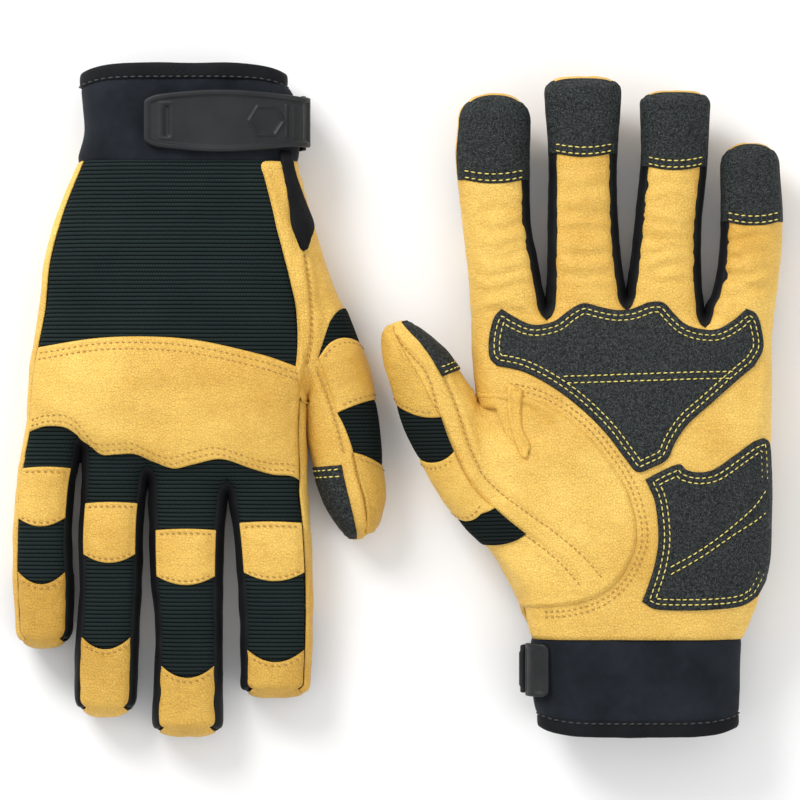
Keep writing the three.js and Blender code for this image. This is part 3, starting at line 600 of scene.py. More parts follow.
materials = {
    "leather": leatherMaterial("leather_tan", (0.66, 0.365, 0.05), (0.89, 0.58, 0.13)),
    "band": leatherMaterial("leather_tan_band", (0.65, 0.36, 0.05), (0.88, 0.565, 0.12), 0.9),
    "tip": leatherMaterial("leather_tan_tips", (0.56, 0.305, 0.036), (0.81, 0.5, 0.095), 1.1),
    # each knit's two colours are its grooves' painted shade and its rib tops' painted highlight
    "knit": knitMaterial("knit_ribbed", (0.0004, 0.0008, 0.0008), (0.02, 0.031, 0.03), 1.56, 1.1),
    "fingerKnit": knitMaterial("knit_ribbed_fine", (0.0004, 0.0006, 0.0006), (0.014, 0.021, 0.02), 1.45, 1.3),
    "fourchette": fabricMaterial("stretch_fabric", (0.002, 0.002, 0.003), (0.008, 0.009, 0.01), 0.6, 0.00005,
                                 0.6, 0.01),
    "grip": gripMaterial("grip_speckled"),
    "neoprene": fabricMaterial("neoprene_brushed", (0.005, 0.007, 0.01), (0.017, 0.021, 0.029), 0.7, 0.00012,
                               0.9, 0.05),
    "rubber": rubberMaterial("rubber_moulded", (0.008, 0.009, 0.01), (0.018, 0.02, 0.021)),
    "tape": fabricMaterial("binding_tape", (0.002, 0.002, 0.003), (0.007, 0.008, 0.01), 0.9, 0.0001,
                           0.7, 0.02),
    "hook": fabricMaterial("hook_tape", (0.004, 0.004, 0.005), (0.018, 0.018, 0.02), 1.4, 0.0004, 0.9, 0.0),
    "yellowThread": threadMaterial("thread_yellow", (0.5, 0.4, 0.06), (0.85, 0.72, 0.2)),
    "tanThread": threadMaterial("thread_tan", (0.27, 0.13, 0.02), (0.5, 0.28, 0.06)),
    "blackThread": threadMaterial("thread_black", (0.012, 0.012, 0.014), (0.045, 0.045, 0.05)),
}
print("materials made")

# values a user may change: the stitches. One is a small six-sided capsule along x, its ends turned down
stitchValues = {"length": 2.0, "pitch": 2.45, "radius": 0.24, "tanLength": 1.3, "tanPitch": 2.3,
                "tanRadius": 0.26, "bandRadius": 0.27}
capsuleX = np.array([-1, -0.82, -0.3, 0.3, 0.82, 1.0])
capsuleR = np.array([0.0, 0.72, 1, 1, 0.72, 0.0])


def stitches(glove, name, rows, material, length, pitch, radius, slotName="leather"):
    # evenly spaced capsules along each row, a (points, normals) path in the hand frame
    random = np.random.default_rng(glove["seed"] + len(name))
    vertices, faces, flats = [], [], []
    turn = np.arange(6) * math.pi / 3
    base = 0
    for points, normals in rows:
        points = toWorld(glove, points) / mm
        origin = toWorld(glove, np.zeros(3)) / mm
        normals = toWorld(glove, normals) / mm - origin
        steps = np.linalg.norm(np.diff(points, axis=0), axis=1)
        run = np.concatenate([[0], np.cumsum(steps)])
        count = int(run[-1] / pitch)
        if count < 1:
            continue
        centres = (np.arange(count) + 0.5) * run[-1] / count

        def at(values, s):
            return np.stack([np.interp(s, run, values[:, k]) for k in range(3)], -1)
        c, n = at(points, centres), at(normals, centres)
        t = at(points, np.minimum(centres + 0.6, run[-1])) - at(points, np.maximum(centres - 0.6, 0))
        t /= np.linalg.norm(t, axis=1, keepdims=True)
        n -= (n * t).sum(1, keepdims=True) * t
        n /= np.linalg.norm(n, axis=1, keepdims=True)
        b = np.cross(n, t)
        slant = random.normal(0, 0.05, count)[:, None]
        t, b = t + slant * b, b - slant * t
        half = length / 2 * random.uniform(0.93, 1.05, count)
        # rings of the capsule: along t, round b and n, lifted most at the middle
        x = capsuleX[None, :, None] * half[:, None, None] * np.ones((1, 1, 6))
        r = capsuleR[None, :, None] * radius
        y, z = r * np.cos(turn), r * np.sin(turn) + radius * (0.45 - 1.1 * capsuleX[None, :, None] ** 4)
        y, z = y * np.ones_like(x), z * np.ones_like(x)
        ring = (c[:, None, None] + x[..., None] * t[:, None, None] + y[..., None] * b[:, None, None]
                + z[..., None] * n[:, None, None])
        vertices.append(ring.reshape(-1, 3))
        round01 = np.broadcast_to(turn / (2 * math.pi), x.shape)
        flats.append(np.stack([x / 10, round01], -1).reshape(-1, 2))
        index = np.arange(count * 36).reshape(count, 6, 6) + base
        nextIndex = np.roll(index, -1, axis=2)
        body = np.stack([index[:, 1:4], index[:, 2:5], nextIndex[:, 2:5], nextIndex[:, 1:4]], -1)[..., ::-1]
        faces.extend(body.reshape(-1, 4).tolist())
        first = np.broadcast_to(index[:, 0, :1], (count, 6))
        last = np.broadcast_to(index[:, 5, :1], (count, 6))
        start = np.stack([first, nextIndex[:, 1], index[:, 1]], -1)
        end = np.stack([last, index[:, 4], nextIndex[:, 4]], -1)
        faces.extend(start.reshape(-1, 3)[:, ::-1].tolist())
        faces.extend(end.reshape(-1, 3)[:, ::-1].tolist())
        base += count * 36
    vertices, flats = np.concatenate(vertices) * mm, np.concatenate(flats)
    # the unused copies of the two end points are dropped
    used = np.unique(np.concatenate([np.array(f) for f in faces]))
    renumber = np.full(len(vertices), -1)
    renumber[used] = np.arange(len(used))
    faces = [renumber[f].tolist() for f in faces]
    return makeObject(glove["name"] + "_" + name, vertices[used], faces, flats[used], material,
                      glove["name"] + "_glove", ())


def yellowStitches(glove, name, rows):
    v = stitchValues
    stitches(glove, name, rows, materials["yellowThread"], v["length"], v["pitch"], v["radius"],
             "grip_fabric")


def tanStitches(glove, name, rows, radius):
    v = stitchValues
    stitches(glove, name, rows, materials["tanThread"], v["tanLength"], v["tanPitch"], radius)


def fingerRow(glove, band, side, ys, lift, reach=0.88, count=40):
    # a path across a finger at y(across), lifted off the sheet
    a = np.linspace(-reach, reach, count)
    along = alongAt(glove, band, a, ys(a))
    points = surface(glove, band, a, along, side)
    dx = surface(glove, band, a + 0.02, along, side) - surface(glove, band, a - 0.02, along, side)
    dy = surface(glove, band, a, along + 0.01, side) - surface(glove, band, a, along - 0.01, side)
    normals = np.cross(dx, dy) * side
    normals /= np.linalg.norm(normals, axis=1, keepdims=True)
    return points + normals * lift, normals


def planRow(glove, path, side, lift):
    points = onPlan(glove, path[:, 0], path[:, 1], side)
    normals = planNormal(glove, path[:, 0], path[:, 1], side)
    return points + normals * lift, normals


def rowOnPanel(glove, path, side, profile, outline, lift):
    # a row lying on a panel's own outside: its profile taken at the row's distance from the outline
    points, normals = planRow(glove, path, side, 0)
    edges = np.stack([np.arange(len(outline) - 1), np.arange(1, len(outline))], -1)
    both = np.concatenate([outline, path])
    distance = edgeDistance(both, edges)[len(outline):]
    return points + normals * (profile(points, distance) + lift)[:, None], normals


def resample(path, step):
    steps = np.linalg.norm(np.diff(path, axis=0), axis=1)
    run = np.concatenate([[0], np.cumsum(steps)])
    s = np.linspace(0, run[-1], max(int(run[-1] / step), 4))
    return np.stack([np.interp(s, run, path[:, k]) for k in range(path.shape[1])], -1)


def insetPath(outline, distance, closed=True):
    # the outline moved inwards along its own normals, and smoothed where it folds over
    path = resample(outline, 0.8)
    ahead, behind = np.roll(path, -1, axis=0), np.roll(path, 1, axis=0)
    if not closed:
        ahead[-1], behind[0] = path[-1], path[0]
    tangent = ahead - behind
    tangent /= np.maximum(np.linalg.norm(tangent, axis=1, keepdims=True), 1e-9)
    moved = path + distance * np.stack([-tangent[:, 1], tangent[:, 0]], -1)
    keep = np.ones(len(moved), bool)
    for start in range(0, len(moved), 256):
        gaps = np.linalg.norm(moved[start:start + 256, None] - path[None], axis=2).min(1)
        keep[start:start + 256] = gaps > abs(distance) * 0.93
    return moved[keep]


def handGrids(glove, side, rows, columns, limit=None):
    # the palm or back sheet, one net for each finger's band; limit(band, across) ends a band early
    grids = []
    for band in range(4):
        across, along = np.meshgrid(columns, rows)
        if limit is not None:
            end = limit(band, across)
            along = np.where(along <= 1, along, mix(1, end, (along - 1) / (rows[-1] - 1)))
        grids.append(surface(glove, band, across, along, side))
    return grids if side > 0 else [g[:, ::-1] for g in grids]


# steps along the hand, the fingers and their round ends, across a band, and down a side wall
handRows = np.concatenate([np.linspace(0.006, 0.84, 64), np.linspace(0.85, 1, 26)])
fingerRows = np.linspace(1, 2, 52)[1:]
capRows = 2 + np.sin(np.linspace(0, math.pi / 2, 14))[1:]
bandColumns = np.sin(np.linspace(-1, 1, 19) * math.pi / 2 * 0.8) / math.sin(math.pi / 2 * 0.8)
wallSides = np.linspace(-1, 0.86, 14)

# values a user may change: the sheets that the glove is sewn from
sheetValues = {
    "inside": -1.0,              # a sheet's inner face, below the glove's surface
    "palm": (0.5, 0.12, 10),     # how far a seam draws the sheet in, its waviness and that one's wavelength
    "knit": (0.5, 0.16, 16),
    "fourchette": (1.3, 0.1, 8),
    "fourchetteInside": -1.9,
    "foldCount": 8,              # folds across each finger's front, their depths and widths
    "foldDepth": (0.5, 1.2),
    "foldWidth": (1.0, 1.9),
}


def palmCreases(glove):
    # folds across the finger fronts, wavy and deepest mid-finger
    folds = []
    v = sheetValues
    random = np.random.default_rng(glove["seed"] + 90)
    for finger in glove["fingers"]:
        start, end = finger["left"][0][0], finger["capStart"]
        centre = (finger["left"][1][1] + finger["right"][1][1]) / 2
        for y in np.linspace(start + 4, end - 5, v["foldCount"]):
            folds.append((y + random.normal(0, 1.4), random.uniform(*v["foldDepth"]),
                          random.uniform(*v["foldWidth"]), random.uniform(0, 6), centre))

    def creases(points):
        x, y = points[:, 0], points[:, 1]
        out = np.zeros(len(points))
        for at, depth, width, phase, centre in folds:
            near = np.exp(-(((x - centre) / 9.5) ** 4))
            line = at + 1.3 * np.sin(x / 4.1 + phase) + 0.06 * (x - centre) ** 2 * math.cos(phase) * 0.3
            out -= depth * near * np.exp(-(((y - line) / width) ** 2))
            out += 0.5 * depth * near * np.exp(-(((y - line - 2.2 * width) / (1.6 * width)) ** 2))
        return out
    return creases


def tipEdge(finger, across):
    # where the knit ends and the tip leather starts, bowed towards the wrist
    return finger["tipStart"] + 2.2 - 4.6 * across**2


def buildSheets(glove):
    v = sheetValues
    palm = handGrids(glove, -1, np.concatenate([handRows, fingerRows, capRows]), bandColumns)
    wallRows = np.concatenate([handRows, fingerRows, capRows[:-1]])
    along, side = np.meshgrid(wallRows, wallSides, indexing="ij")
    walls = [surface(glove, 3, 1, along, side)[:, ::-1]]
    # the thumb-side wall is left open where the thumb joins it
    for rows in (wallRows[wallRows >= 0.72], wallRows[wallRows <= 0.14]):
        along, side = np.meshgrid(rows, wallSides, indexing="ij")
        walls.append(surface(glove, 0, -1, along, side))
    sewnPiece(glove, "palm_leather", palm + walls, sheetProfile(glove, *v["palm"], palmCreases(glove)),
              v["inside"], materials["leather"])
    rows = np.concatenate([handRows, fingerRows])

    def limit(band, across):
        return alongAt(glove, band, across, tipEdge(glove["fingers"][band], across) - 0.3)
    sewnPiece(glove, "back_knit", handGrids(glove, 1, rows, bandColumns, limit),
              sheetProfile(glove, *v["knit"]), v["inside"], materials["knit"])
    for gap, name in enumerate(("index_middle", "middle_ring", "ring_little")):
        # from the tips down to the crotch, its steps finest there, and past the sheets' edges its allowance
        # runs on under them, over the slit's end too
        fold = np.concatenate([[1, 0.6, 0.25], np.zeros(17), [0.25, 0.6, 1]])
        sides = np.concatenate([-np.ones(3), np.linspace(-0.96, 0.96, 17), np.ones(3)])
        t, column = np.meshgrid(1 - np.linspace(1, 0, 84) ** 1.8, np.arange(len(sides)), indexing="ij")
        side, under = sides[column], fold[column]
        crotch = 1 - np.where(side > 0, shell["backSlit"], shell["palmSlit"]) * np.abs(side) - 0.02 * under
        along = mix(2.93, crotch, t)
        across = 1 - 0.13 * under * (1 - easeInOut((t - 0.97) / 0.03))
        down = surface(glove, gap, across, along, side)
        up = surface(glove, gap + 1, -across, along, side)[::-1]
        sewnPiece(glove, name + "_fourchette", [down, up], sheetProfile(glove, *v["fourchette"]),
                  v["fourchetteInside"], materials["fourchette"])


# values a user may change: the pieces on the fingers, as thickness, edge radius, puff, rows of stitches,
# waviness and its wavelength
fingerValues = {
    "pad": (0.9, 0.7, 0.5, (1.6,), 0.12, 7),
    "cap": (0.8, 0.6, 0.2, (1.2, 3.7), 0.08, 6),
    "tip": (0.35, 0.1, 6),
    "inside": -0.3,
    "padRowLift": 1.05,
    "capRowLifts": (0.85, 0.9),
}


def buildFingers(glove):
    v = fingerValues
    for band, finger in enumerate(glove["fingers"]):
        name = fingerNames[band]
        low, high = finger["patch"]
        columns = closeSteps(18, 0.06) * 2 - 1

        # the pad over the middle joint: its far edge bows towards the tip
        def patchTop(a):
            return low + 0.6 * a**2

        def patchBottom(a):
            return high + 2.4 - 3.2 * a**2
        t, a = np.meshgrid(closeSteps(18, 0.08), columns, indexing="ij")
        y = mix(patchTop(a), patchBottom(a), t)
        grid = surface(glove, band, a * 0.97, alongAt(glove, band, a * 0.97, y), 1)
        sewnPiece(glove, name + "_knuckle_patch", [grid], panelProfile(glove, *v["pad"]), v["inside"],
                  materials["band"])
        rows = [fingerRow(glove, band, 1, lambda a: patchTop(a) + 1.6, v["padRowLift"], 0.84),
                fingerRow(glove, band, 1, lambda a: patchBottom(a) - 1.6, v["padRowLift"], 0.84)]

        # leather over the fingertip, from the back round the end
        steps = np.concatenate([closeSteps(16, 0.1)[:-5], 1 + np.sin(np.linspace(0, math.pi / 2, 12))])
        t, a = np.meshgrid(steps, closeSteps(16, 0.06) * 2 - 1, indexing="ij")
        start = alongAt(glove, band, a, tipEdge(finger, a))
        top = surface(glove, band, a, np.where(t <= 1, mix(start, 2, np.minimum(t, 1)), 1 + t), 1)
        t, a = np.meshgrid(np.linspace(0, 1, 16), closeSteps(16, 0.06) * 2 - 1, indexing="ij")
        end = surface(glove, band, a, 3, 1 - 1.95 * t)
        sewnPiece(glove, name + "_tip_leather", [top, end], sheetProfile(glove, *v["tip"]),
                  sheetValues["inside"], materials["tip"])
        rows += [fingerRow(glove, band, 1, lambda a: tipEdge(finger, a) + 1.4, 0.1, 0.84)]
        tanStitches(glove, name + "_back_stitching", rows, stitchValues["tanRadius"])

        # grip cap on the front of the fingertip
        def capEdge(a):
            return finger["capStart"] + 1.6 * a**2
        # past the sheet's own edges the cap turns on to the finger's walls
        steps = np.concatenate([closeSteps(20, 0.08)[:-5], np.linspace(1, 2, 14)[1:],
                                np.linspace(2, 2.13, 6)[1:]])
        t, a = np.meshgrid(steps, closeSteps(30, 0.05) * 2.4 - 1.2, indexing="ij")
        over = np.hypot(np.maximum(np.abs(a) - 1, 0), np.maximum(t - 2, 0))
        a, t = np.clip(a, -1, 1), np.minimum(t, 2)
        start = alongAt(glove, band, a, capEdge(a))
        along = np.where(t <= 1, mix(start, 2, np.minimum(t, 1)), 1 + t)
        grid = surface(glove, band, a, along, np.minimum(-1 + 2.4 * over, -0.3))[:, ::-1]
        sewnPiece(glove, name + "_grip_cap", [grid], panelProfile(glove, *v["cap"]), v["inside"],
                  materials["grip"])
        outer, inner = v["capRowLifts"]
        rows = [fingerRow(glove, band, -1, lambda a: capEdge(a) + 1.2, outer, 0.96),
                fingerRow(glove, band, -1, lambda a: capEdge(a) + 3.7, inner, 0.96)]
        yellowStitches(glove, name + "_cap_stitching", rows)


# values a user may change: the band across the knuckles, as a finger's pad
bandValues = {"panel": (1.1, 0.9, 1.0, (2.2, 4.6), 0.2, 13), "inside": -0.3, "rows": (2.2, 4.6),
              "rowLift": 0.08}


def buildBand(glove):
    v = bandValues
    grids = []
    steps = closeSteps(34, 0.06, 5)
    for band in range(4):
        t, a = np.meshgrid(steps, np.linspace(-1, 1, 22), indexing="ij")
        x = surface(glove, band, a, 0.8, 1)[..., 0]
        y = mix(glove["bandTopAt"](x), glove["bandBottomAt"](x), t)
        grids.append(surface(glove, band, a, alongAt(glove, band, a, y), 1))
    profile = panelProfile(glove, *v["panel"])
    sewnPiece(glove, "knuckle_band", grids, profile, v["inside"], materials["band"])
    rows = []
    for inset in v["rows"]:
        for edge, sign in (("bandTopAt", 1), ("bandBottomAt", -1)):
            u = np.linspace(-0.97, 0.97, 260)
            x0 = place(glove, u, np.full(u.shape, 92.0), 1)[:, 0]
            y = glove[edge](x0) + sign * inset
            points = place(glove, u, y, 1)
            right, left = np.minimum(u + 0.01, 0.999), np.maximum(u - 0.01, -0.999)
            dx = place(glove, right, y, 1) - place(glove, left, y, 1)
            dy = place(glove, u, y + 0.5, 1) - place(glove, u, y - 0.5, 1)
            normals = np.cross(dx, dy)
            normals /= np.linalg.norm(normals, axis=1, keepdims=True)
            lift = profile(points, np.full(len(points), inset)) + v["rowLift"]
            rows.append((points + normals * lift[:, None], normals))
    tanStitches(glove, "band_stitching", rows, stitchValues["bandRadius"])


# values a user may change: the grip patches' panel, and their outlines, drawn on the left glove's palm and
# carried to the right one
patchValues = {"panel": (1.0, 0.7, 0.6, (2.3, 4.3), 0.12, 14), "inside": -0.4, "rows": (2.3, 4.3),
               "lineDepth": 0.3, "lineWidth": 0.8}
palmPatch = {
    "bottom": [[-54.6, 105.6], [-45, 103.5], [-35, 98.5], [-24, 90.5], [-13.7, 80.5], [-6, 70.5],
               [-1.1, 65.1], [5, 67], [10.3, 70], [13.5, 76.5], [18.5, 83.5], [27, 91], [37.4, 100.1],
               [44, 105.5]],
    "top": [[-52.6, 127.5], [-47, 124], [-42, 121.6], [-37.3, 121.3], [-32, 122.8], [-26.5, 127],
            [-21.2, 129.6], [-15, 128.2], [-9, 127], [-2.7, 127.4], [4, 130], [9.5, 129.8], [13.5, 125.5],
            [18, 121.4], [24, 119.5], [30, 119.6], [36, 123], [41.3, 127.6]],
    "left": [[-54.6, 105.6], [-57.2, 109], [-57.4, 116], [-55.5, 124], [-52.6, 127.5]],
    "right": [[44, 105.5], [47.5, 112], [47, 120], [45, 125.5], [41.3, 127.6]],
}
heelPatch = {
    "bottom": [[0.8, 15.6], [6, 12.7], [17, 12.2], [28, 12.5], [39, 13.8], [45, 17.3]],
    "top": [[1.9, 62.2], [9, 66], [15, 68.1], [17.5, 66], [22, 65], [28, 66], [35.5, 71], [43, 76.3],
            [47.5, 78]],
    "left": [[0.8, 15.6], [2.5, 20], [5.4, 29.3], [6.9, 40], [5.8, 52.7], [3.5, 59], [1.9, 62.2]],
    "right": [[45, 17.3], [49, 25.4], [50.4, 36.6], [50.6, 55], [50.3, 67], [49.6, 76], [47.5, 78]],
}


def outlinePath(outline, count=90):
    # round the four sides, against the clock
    paths = {k: smoothPath(v) for k, v in outline.items()}
    t = np.linspace(0, 1, count)[:-1]
    return np.concatenate([paths["bottom"](t), paths["right"](t), paths["top"](1 - t), paths["left"](1 - t)])


def carryOver(glove, points):
    # from the left glove's palm to this one's, keeping the share of the way across at each y
    if glove is leftGlove:
        return points
    x, y = points[..., 0], np.clip(points[..., 1], 0, 131)

    def span(g):
        ends = np.full(y.shape, 0.999)
        return place(g, -ends, y, -1)[..., 0], place(g, ends, y, -1)[..., 0]
    fromLeft, fromRight = span(leftGlove)
    toLeft, toRight = span(glove)
    share = np.minimum((x - fromLeft) / (fromRight - fromLeft), 0.99)
    # the right glove's crotches lie a little lower
    return np.stack([mix(toLeft, toRight, share), y * (1 - 0.03 * easeInOut((y - 95) / 35))], -1)


def coons(outline, rows, columns):
    # between the bottom and top sides, plus between the left and right ones, less the four corners' own blend
    paths = {k: smoothPath(v) for k, v in outline.items()}
    v, u = np.meshgrid(rows, columns, indexing="ij")
    bottom, top, left, right = paths["bottom"](u), paths["top"](u), paths["left"](v), paths["right"](v)
    u, v = u[..., None], v[..., None]
    low = mix(paths["bottom"](0.0), paths["bottom"](1.0), u)
    high = mix(paths["top"](0.0), paths["top"](1.0), u)
    return mix(bottom, top, v) + mix(left, right, u) - mix(low, high, v)


def patchLines(name):
    # the two rows of stitches inside each patch
    t = np.linspace(0, 1, 90)
    if name == "palm_grip_patch":
        inner = np.linspace(0.02, 0.98, 90)
        return [np.stack([mix(-29.5, 36, part), mix(101.4, 103.4, part) - shift], -1)
                for part, shift in ((t, 0.0), (inner, 2.6))]
    return [smoothPath([[47.8, 58 - 3 * shift], [43, 51.5 - 2 * shift], [34, 43.5 - 1.2 * shift],
                        [23, 35.5 - shift], [11.2, 28.8 - shift]])(t) for shift in (0.0, 2.8)]


def buildPatches(glove):
    v = patchValues
    sizes = (("palm_grip_patch", palmPatch, (40, 84)), ("heel_grip_patch", heelPatch, (50, 42)))
    for name, outline, size in sizes:
        flat = carryOver(glove, coons(outline, closeSteps(size[0], 0.07, 5), closeSteps(size[1], 0.04, 5)))
        grid = onPlan(glove, flat[..., 0], flat[..., 1], -1)[:, ::-1]
        ring = outlinePath(outline)
        ring = np.concatenate([ring, ring[:1]])
        paths = []
        for inset in v["rows"]:
            path = insetPath(ring, inset)
            paths.append(np.concatenate([path, path[:1]]))
        paths += patchLines(name)
        outlineHere = carryOver(glove, ring)
        lines = np.concatenate([carryOver(glove, path) for path in paths[2:]])
        edges = np.array([k for k in range(len(lines) - 1) if k != 89])
        edges = np.stack([edges, edges + 1], -1)
        level = panelProfile(glove, *v["panel"])

        # the panel drawn in along the two inner rows as well
        def profile(points, distance):
            both = np.concatenate([lines, points[:, :2]])
            away = edgeDistance(both, edges)[len(lines):]
            return level(points, distance) - v["lineDepth"] * np.exp(-((away / v["lineWidth"]) ** 2))
        sewnPiece(glove, name, [grid], profile, v["inside"], materials["grip"])
        rows = [rowOnPanel(glove, carryOver(glove, path), -1, profile, outlineHere, 0.04 if k < 2 else 0.24)
                for k, path in enumerate(paths)]
        yellowStitches(glove, name + "_stitching", rows)


def pressFlat(glove, points, depth):
    # a glove is pressed flat on the side it lies on
    if glove["side"] < 0:
        points[..., 2] = np.minimum(points[..., 2], depth)
    else:
        points[..., 2] = np.maximum(points[..., 2], -depth)
    return points


def thumbPoint(glove, s, turn):
    # a rounded section between an inner and an outer rail; turn 0 faces the index finger, 90 is its back
    s, turn = np.broadcast_arrays(np.asarray(s, float), np.asarray(turn, float))
    outerX, outerY, innerX, innerY, height, middle = np.moveaxis(glove["thumbAt"](s), -1, 0)
    angle = np.radians(turn)
    c, n = np.cos(angle), np.sin(angle)
    power = 2 / shell["thumbPower"]
    towards = (1 - np.sign(c) * np.abs(c) ** power) / 2
    z = middle + height * np.sign(n) * np.abs(n) ** power
    point = np.stack([mix(innerX, outerX, towards), mix(innerY, outerY, towards), z], -1)
    return pressFlat(glove, point, shell["restDepth"])


# Values a user may change: the seam of the thumb on the palm (thenar) and on the back, the edges of its
# panels, each from its inner corner to the silhouette, and the seams drawn on its leather
rightGlove["thenar"] = [[-42, 93], [-30, 90], [-14, 78], [-2, 60], [4, 45], [4, 34], [-4, 22], [-18, 14],
                        [-33, 10.5], [-40, 9]]
rightGlove["backLine"] = [[-37, 1.2], [-32, 1], [-27.5, 1.6], [-29.5, 9], [-32.7, 21.6], [-34, 28],
                          [-37.7, 43], [-41, 58], [-41.8, 72], [-40.5, 84]]
rightGlove["thumbEdges"] = [
    [[-54.3, 62.4], [-58.9, 58.5]], [[-49.7, 76.6], [-65.1, 71.2]], [[-57, 97.4], [-70.1, 92.8]],
    [[-63.1, 112.8], [-73.5, 118.2]], [[-67.4, 143.5], [-70, 143]]]
rightGlove["thumbLines"] = [
    [[-43.5, 31], [-45.8, 44], [-47, 54], [-47.4, 64], [-47, 72], [-45, 80]],
    [[-48.9, 80], [-52, 87.5], [-54.3, 94], [-57.8, 105], [-59.7, 114]],
    [[-63.1, 112.5], [-64.7, 120], [-67.4, 130], [-68.9, 139.4]]]
leftGlove["thenar"] = [[-52, 95], [-46, 94.3], [-35, 90.5], [-23, 82], [-14, 72], [-6, 60], [-2, 48],
                       [-1.2, 40.4], [-2, 35.8], [-6, 27], [-11, 21.2], [-17.3, 17], [-27, 14.2],
                       [-36, 13.5], [-40, 13]]
leftGlove["backLine"] = [[-37, 1.2], [-32, 1], [-27.5, 1.6], [-29.5, 9], [-33, 22], [-35, 30], [-40, 43],
                         [-45.5, 56], [-50, 69], [-53, 82]]
leftGlove["thumbEdges"] = [
    [[-43.1, 41.2], [-59.3, 38.9]], [[-55.4, 51.2], [-68.9, 50.4]], [[-70.8, 72.8], [-82.8, 70.5]],
    [[-75.8, 85.9], [-90.9, 91.6]], [[-93.6, 120.5], [-95.5, 121]]]
leftGlove["thumbLines"] = [
    [[-94.7, 118.6], [-85.9, 112], [-80.5, 102], [-76.6, 90], [-72.8, 77.4], [-68.5, 68.1], [-61.6, 57],
     [-55.4, 51.6], [-44.3, 42.7], [-31, 29.5], [-18.1, 17.3]],
    [[-90.5, 123], [-80.5, 110.5], [-73.5, 98.6], [-70.5, 93.2], [-65.5, 78.9], [-60.8, 65.8], [-52.4, 58.5],
     [-36.6, 45.4], [-22, 32], [-10.4, 21.2]]]
thumbValues = {
    "restDepth": 16.4,                # the thumb is pressed flat a little lower than the hand
    "foldDepth": (0.42, 0.12),        # soft folds of the leather at the thumb's root, and their wavelengths
    "foldLength": (17, 7),
    "leatherInside": -0.9,
    "panelInside": -0.3,
    "knitHeight": 0.85,
    "pad": (1.4, 0.9, 0.4, (1.5,), 0.1, 7),      # as a finger's pad
    "tip": (1.4, 0.9, 0.15, (1.5,), 0.1, 7),
    "cap": (1.0, 0.6, 0.2, (1.2, 3.7), 0.08, 6),
    "panelRowLift": 1.4,
    "capRows": (0.1, 0.3),
    "palmRows": (1.9, 3.9),
}


def rootLoop(glove, count):
    # the closed seam round the thumb's root: the palm arc from the web to the wrist, then back to the web
    def half(points, side):
        path = smoothPath(points)(np.linspace(0, 1, 120))
        return onPlan(glove, path[:, 0], path[:, 1], side)
    palm, back = half(glove["thenar"], -1), half(glove["backLine"], 1)

    def wall(y, sides):
        along = alongAt(glove, 0, np.full(sides.shape, -1.0), np.full(sides.shape, float(y)))
        return surface(glove, 0, -1, along, sides)
    webY, wristY = glove["thenar"][0][1], glove["thenar"][-1][1]
    down = np.linspace(-0.05, -0.9, 12)
    palm = np.concatenate([wall(webY, down), palm, wall(wristY, np.linspace(-0.9, -0.05, 12))])
    toCuff = np.concatenate([wall(y, np.array([t])) for y, t in zip(np.linspace(wristY, 1.2, 12),
                                                                    np.linspace(0.05, 0.9, 12))])
    back = np.concatenate([toCuff, back, wall(webY, np.linspace(0.9, 0.05, 12))])

    def even(path):
        steps = np.linalg.norm(np.diff(path, axis=0), axis=1)
        run = np.concatenate([[0], np.cumsum(steps)])
        s = np.linspace(0, run[-1], count + 1)[:-1]
        return np.stack([np.interp(s, run, path[:, k]) for k in range(3)], -1)
    loop = np.concatenate([even(palm), even(back)])
    for _ in range(6):
        loop = (np.roll(loop, 1, axis=0) + 2 * loop + np.roll(loop, -1, axis=0)) / 4
    return loop


def thumbRoot(glove, b, a):
    # from the seam on the hand (b 0) to the thumb's tube (b 1), once round from the web (a 0 to 1):
    # a cubic that leaves along the hand and arrives along the thumb
    if "loop" not in glove:
        loop = rootLoop(glove, 120)
        glove["loop"] = np.concatenate([loop, loop[:1]])
    loop = glove["loop"]
    shares = np.linspace(0, 1, len(loop))
    start = np.stack([np.interp(a, shares, loop[:, k]) for k in range(3)], -1)
    turn = -360 * a
    joinAt = glove["thumbRoot"]
    end = thumbPoint(glove, joinAt, turn)
    ahead = (thumbPoint(glove, joinAt + 0.05, turn) - thumbPoint(glove, joinAt - 0.05, turn)) / 0.1
    gap = end - start
    reach = np.linalg.norm(gap, axis=-1, keepdims=True)
    tilt = np.clip(start[..., 2:] / 11, -1, 1)
    normal = np.concatenate([-np.sqrt(np.maximum(1 - tilt**2, 0)), 0 * tilt, tilt], -1)
    leave = gap - np.abs(tilt) * (gap * normal).sum(-1, keepdims=True) * normal
    leave += 0.12 * reach * normal * np.abs(tilt)
    arrive = ahead / np.linalg.norm(ahead, axis=-1, keepdims=True) * reach * 0.9
    t = b[..., None]
    point = (start * (2 * t**3 - 3 * t**2 + 1) + leave * (t**3 - 2 * t**2 + t)
             + end * (3 * t**2 - 2 * t**3) + arrive * (t**3 - t**2))
    point = point + normal * (1 - t)
    return pressFlat(glove, point, thumbValues["restDepth"])


def thumbSurface(glove, s, a):
    # the whole thumb: its root up to s = thumbRoot, its tube beyond
    s, a = np.broadcast_arrays(np.asarray(s, float), np.asarray(a, float))
    join = glove["thumbRoot"]
    out = thumbPoint(glove, np.maximum(s, join), -360 * a)
    low = s < join
    if low.any():
        out[low] = thumbRoot(glove, s[low] / join, a[low])
    # soft folds where the leather gives between the palm and the thumb
    soft = easeInOut(s / join / 0.3) * (1 - easeInOut((s / join - 0.8) / 0.5))
    waves = zip(thumbValues["foldDepth"], thumbValues["foldLength"])
    fold = sum(ripple(out, glove["seed"] + 60 + k, length) * depth for k, (depth, length) in enumerate(waves))
    out[..., 2] += np.tanh(out[..., 2] / 4) * fold * soft
    return pressFlat(glove, out, thumbValues["restDepth"])


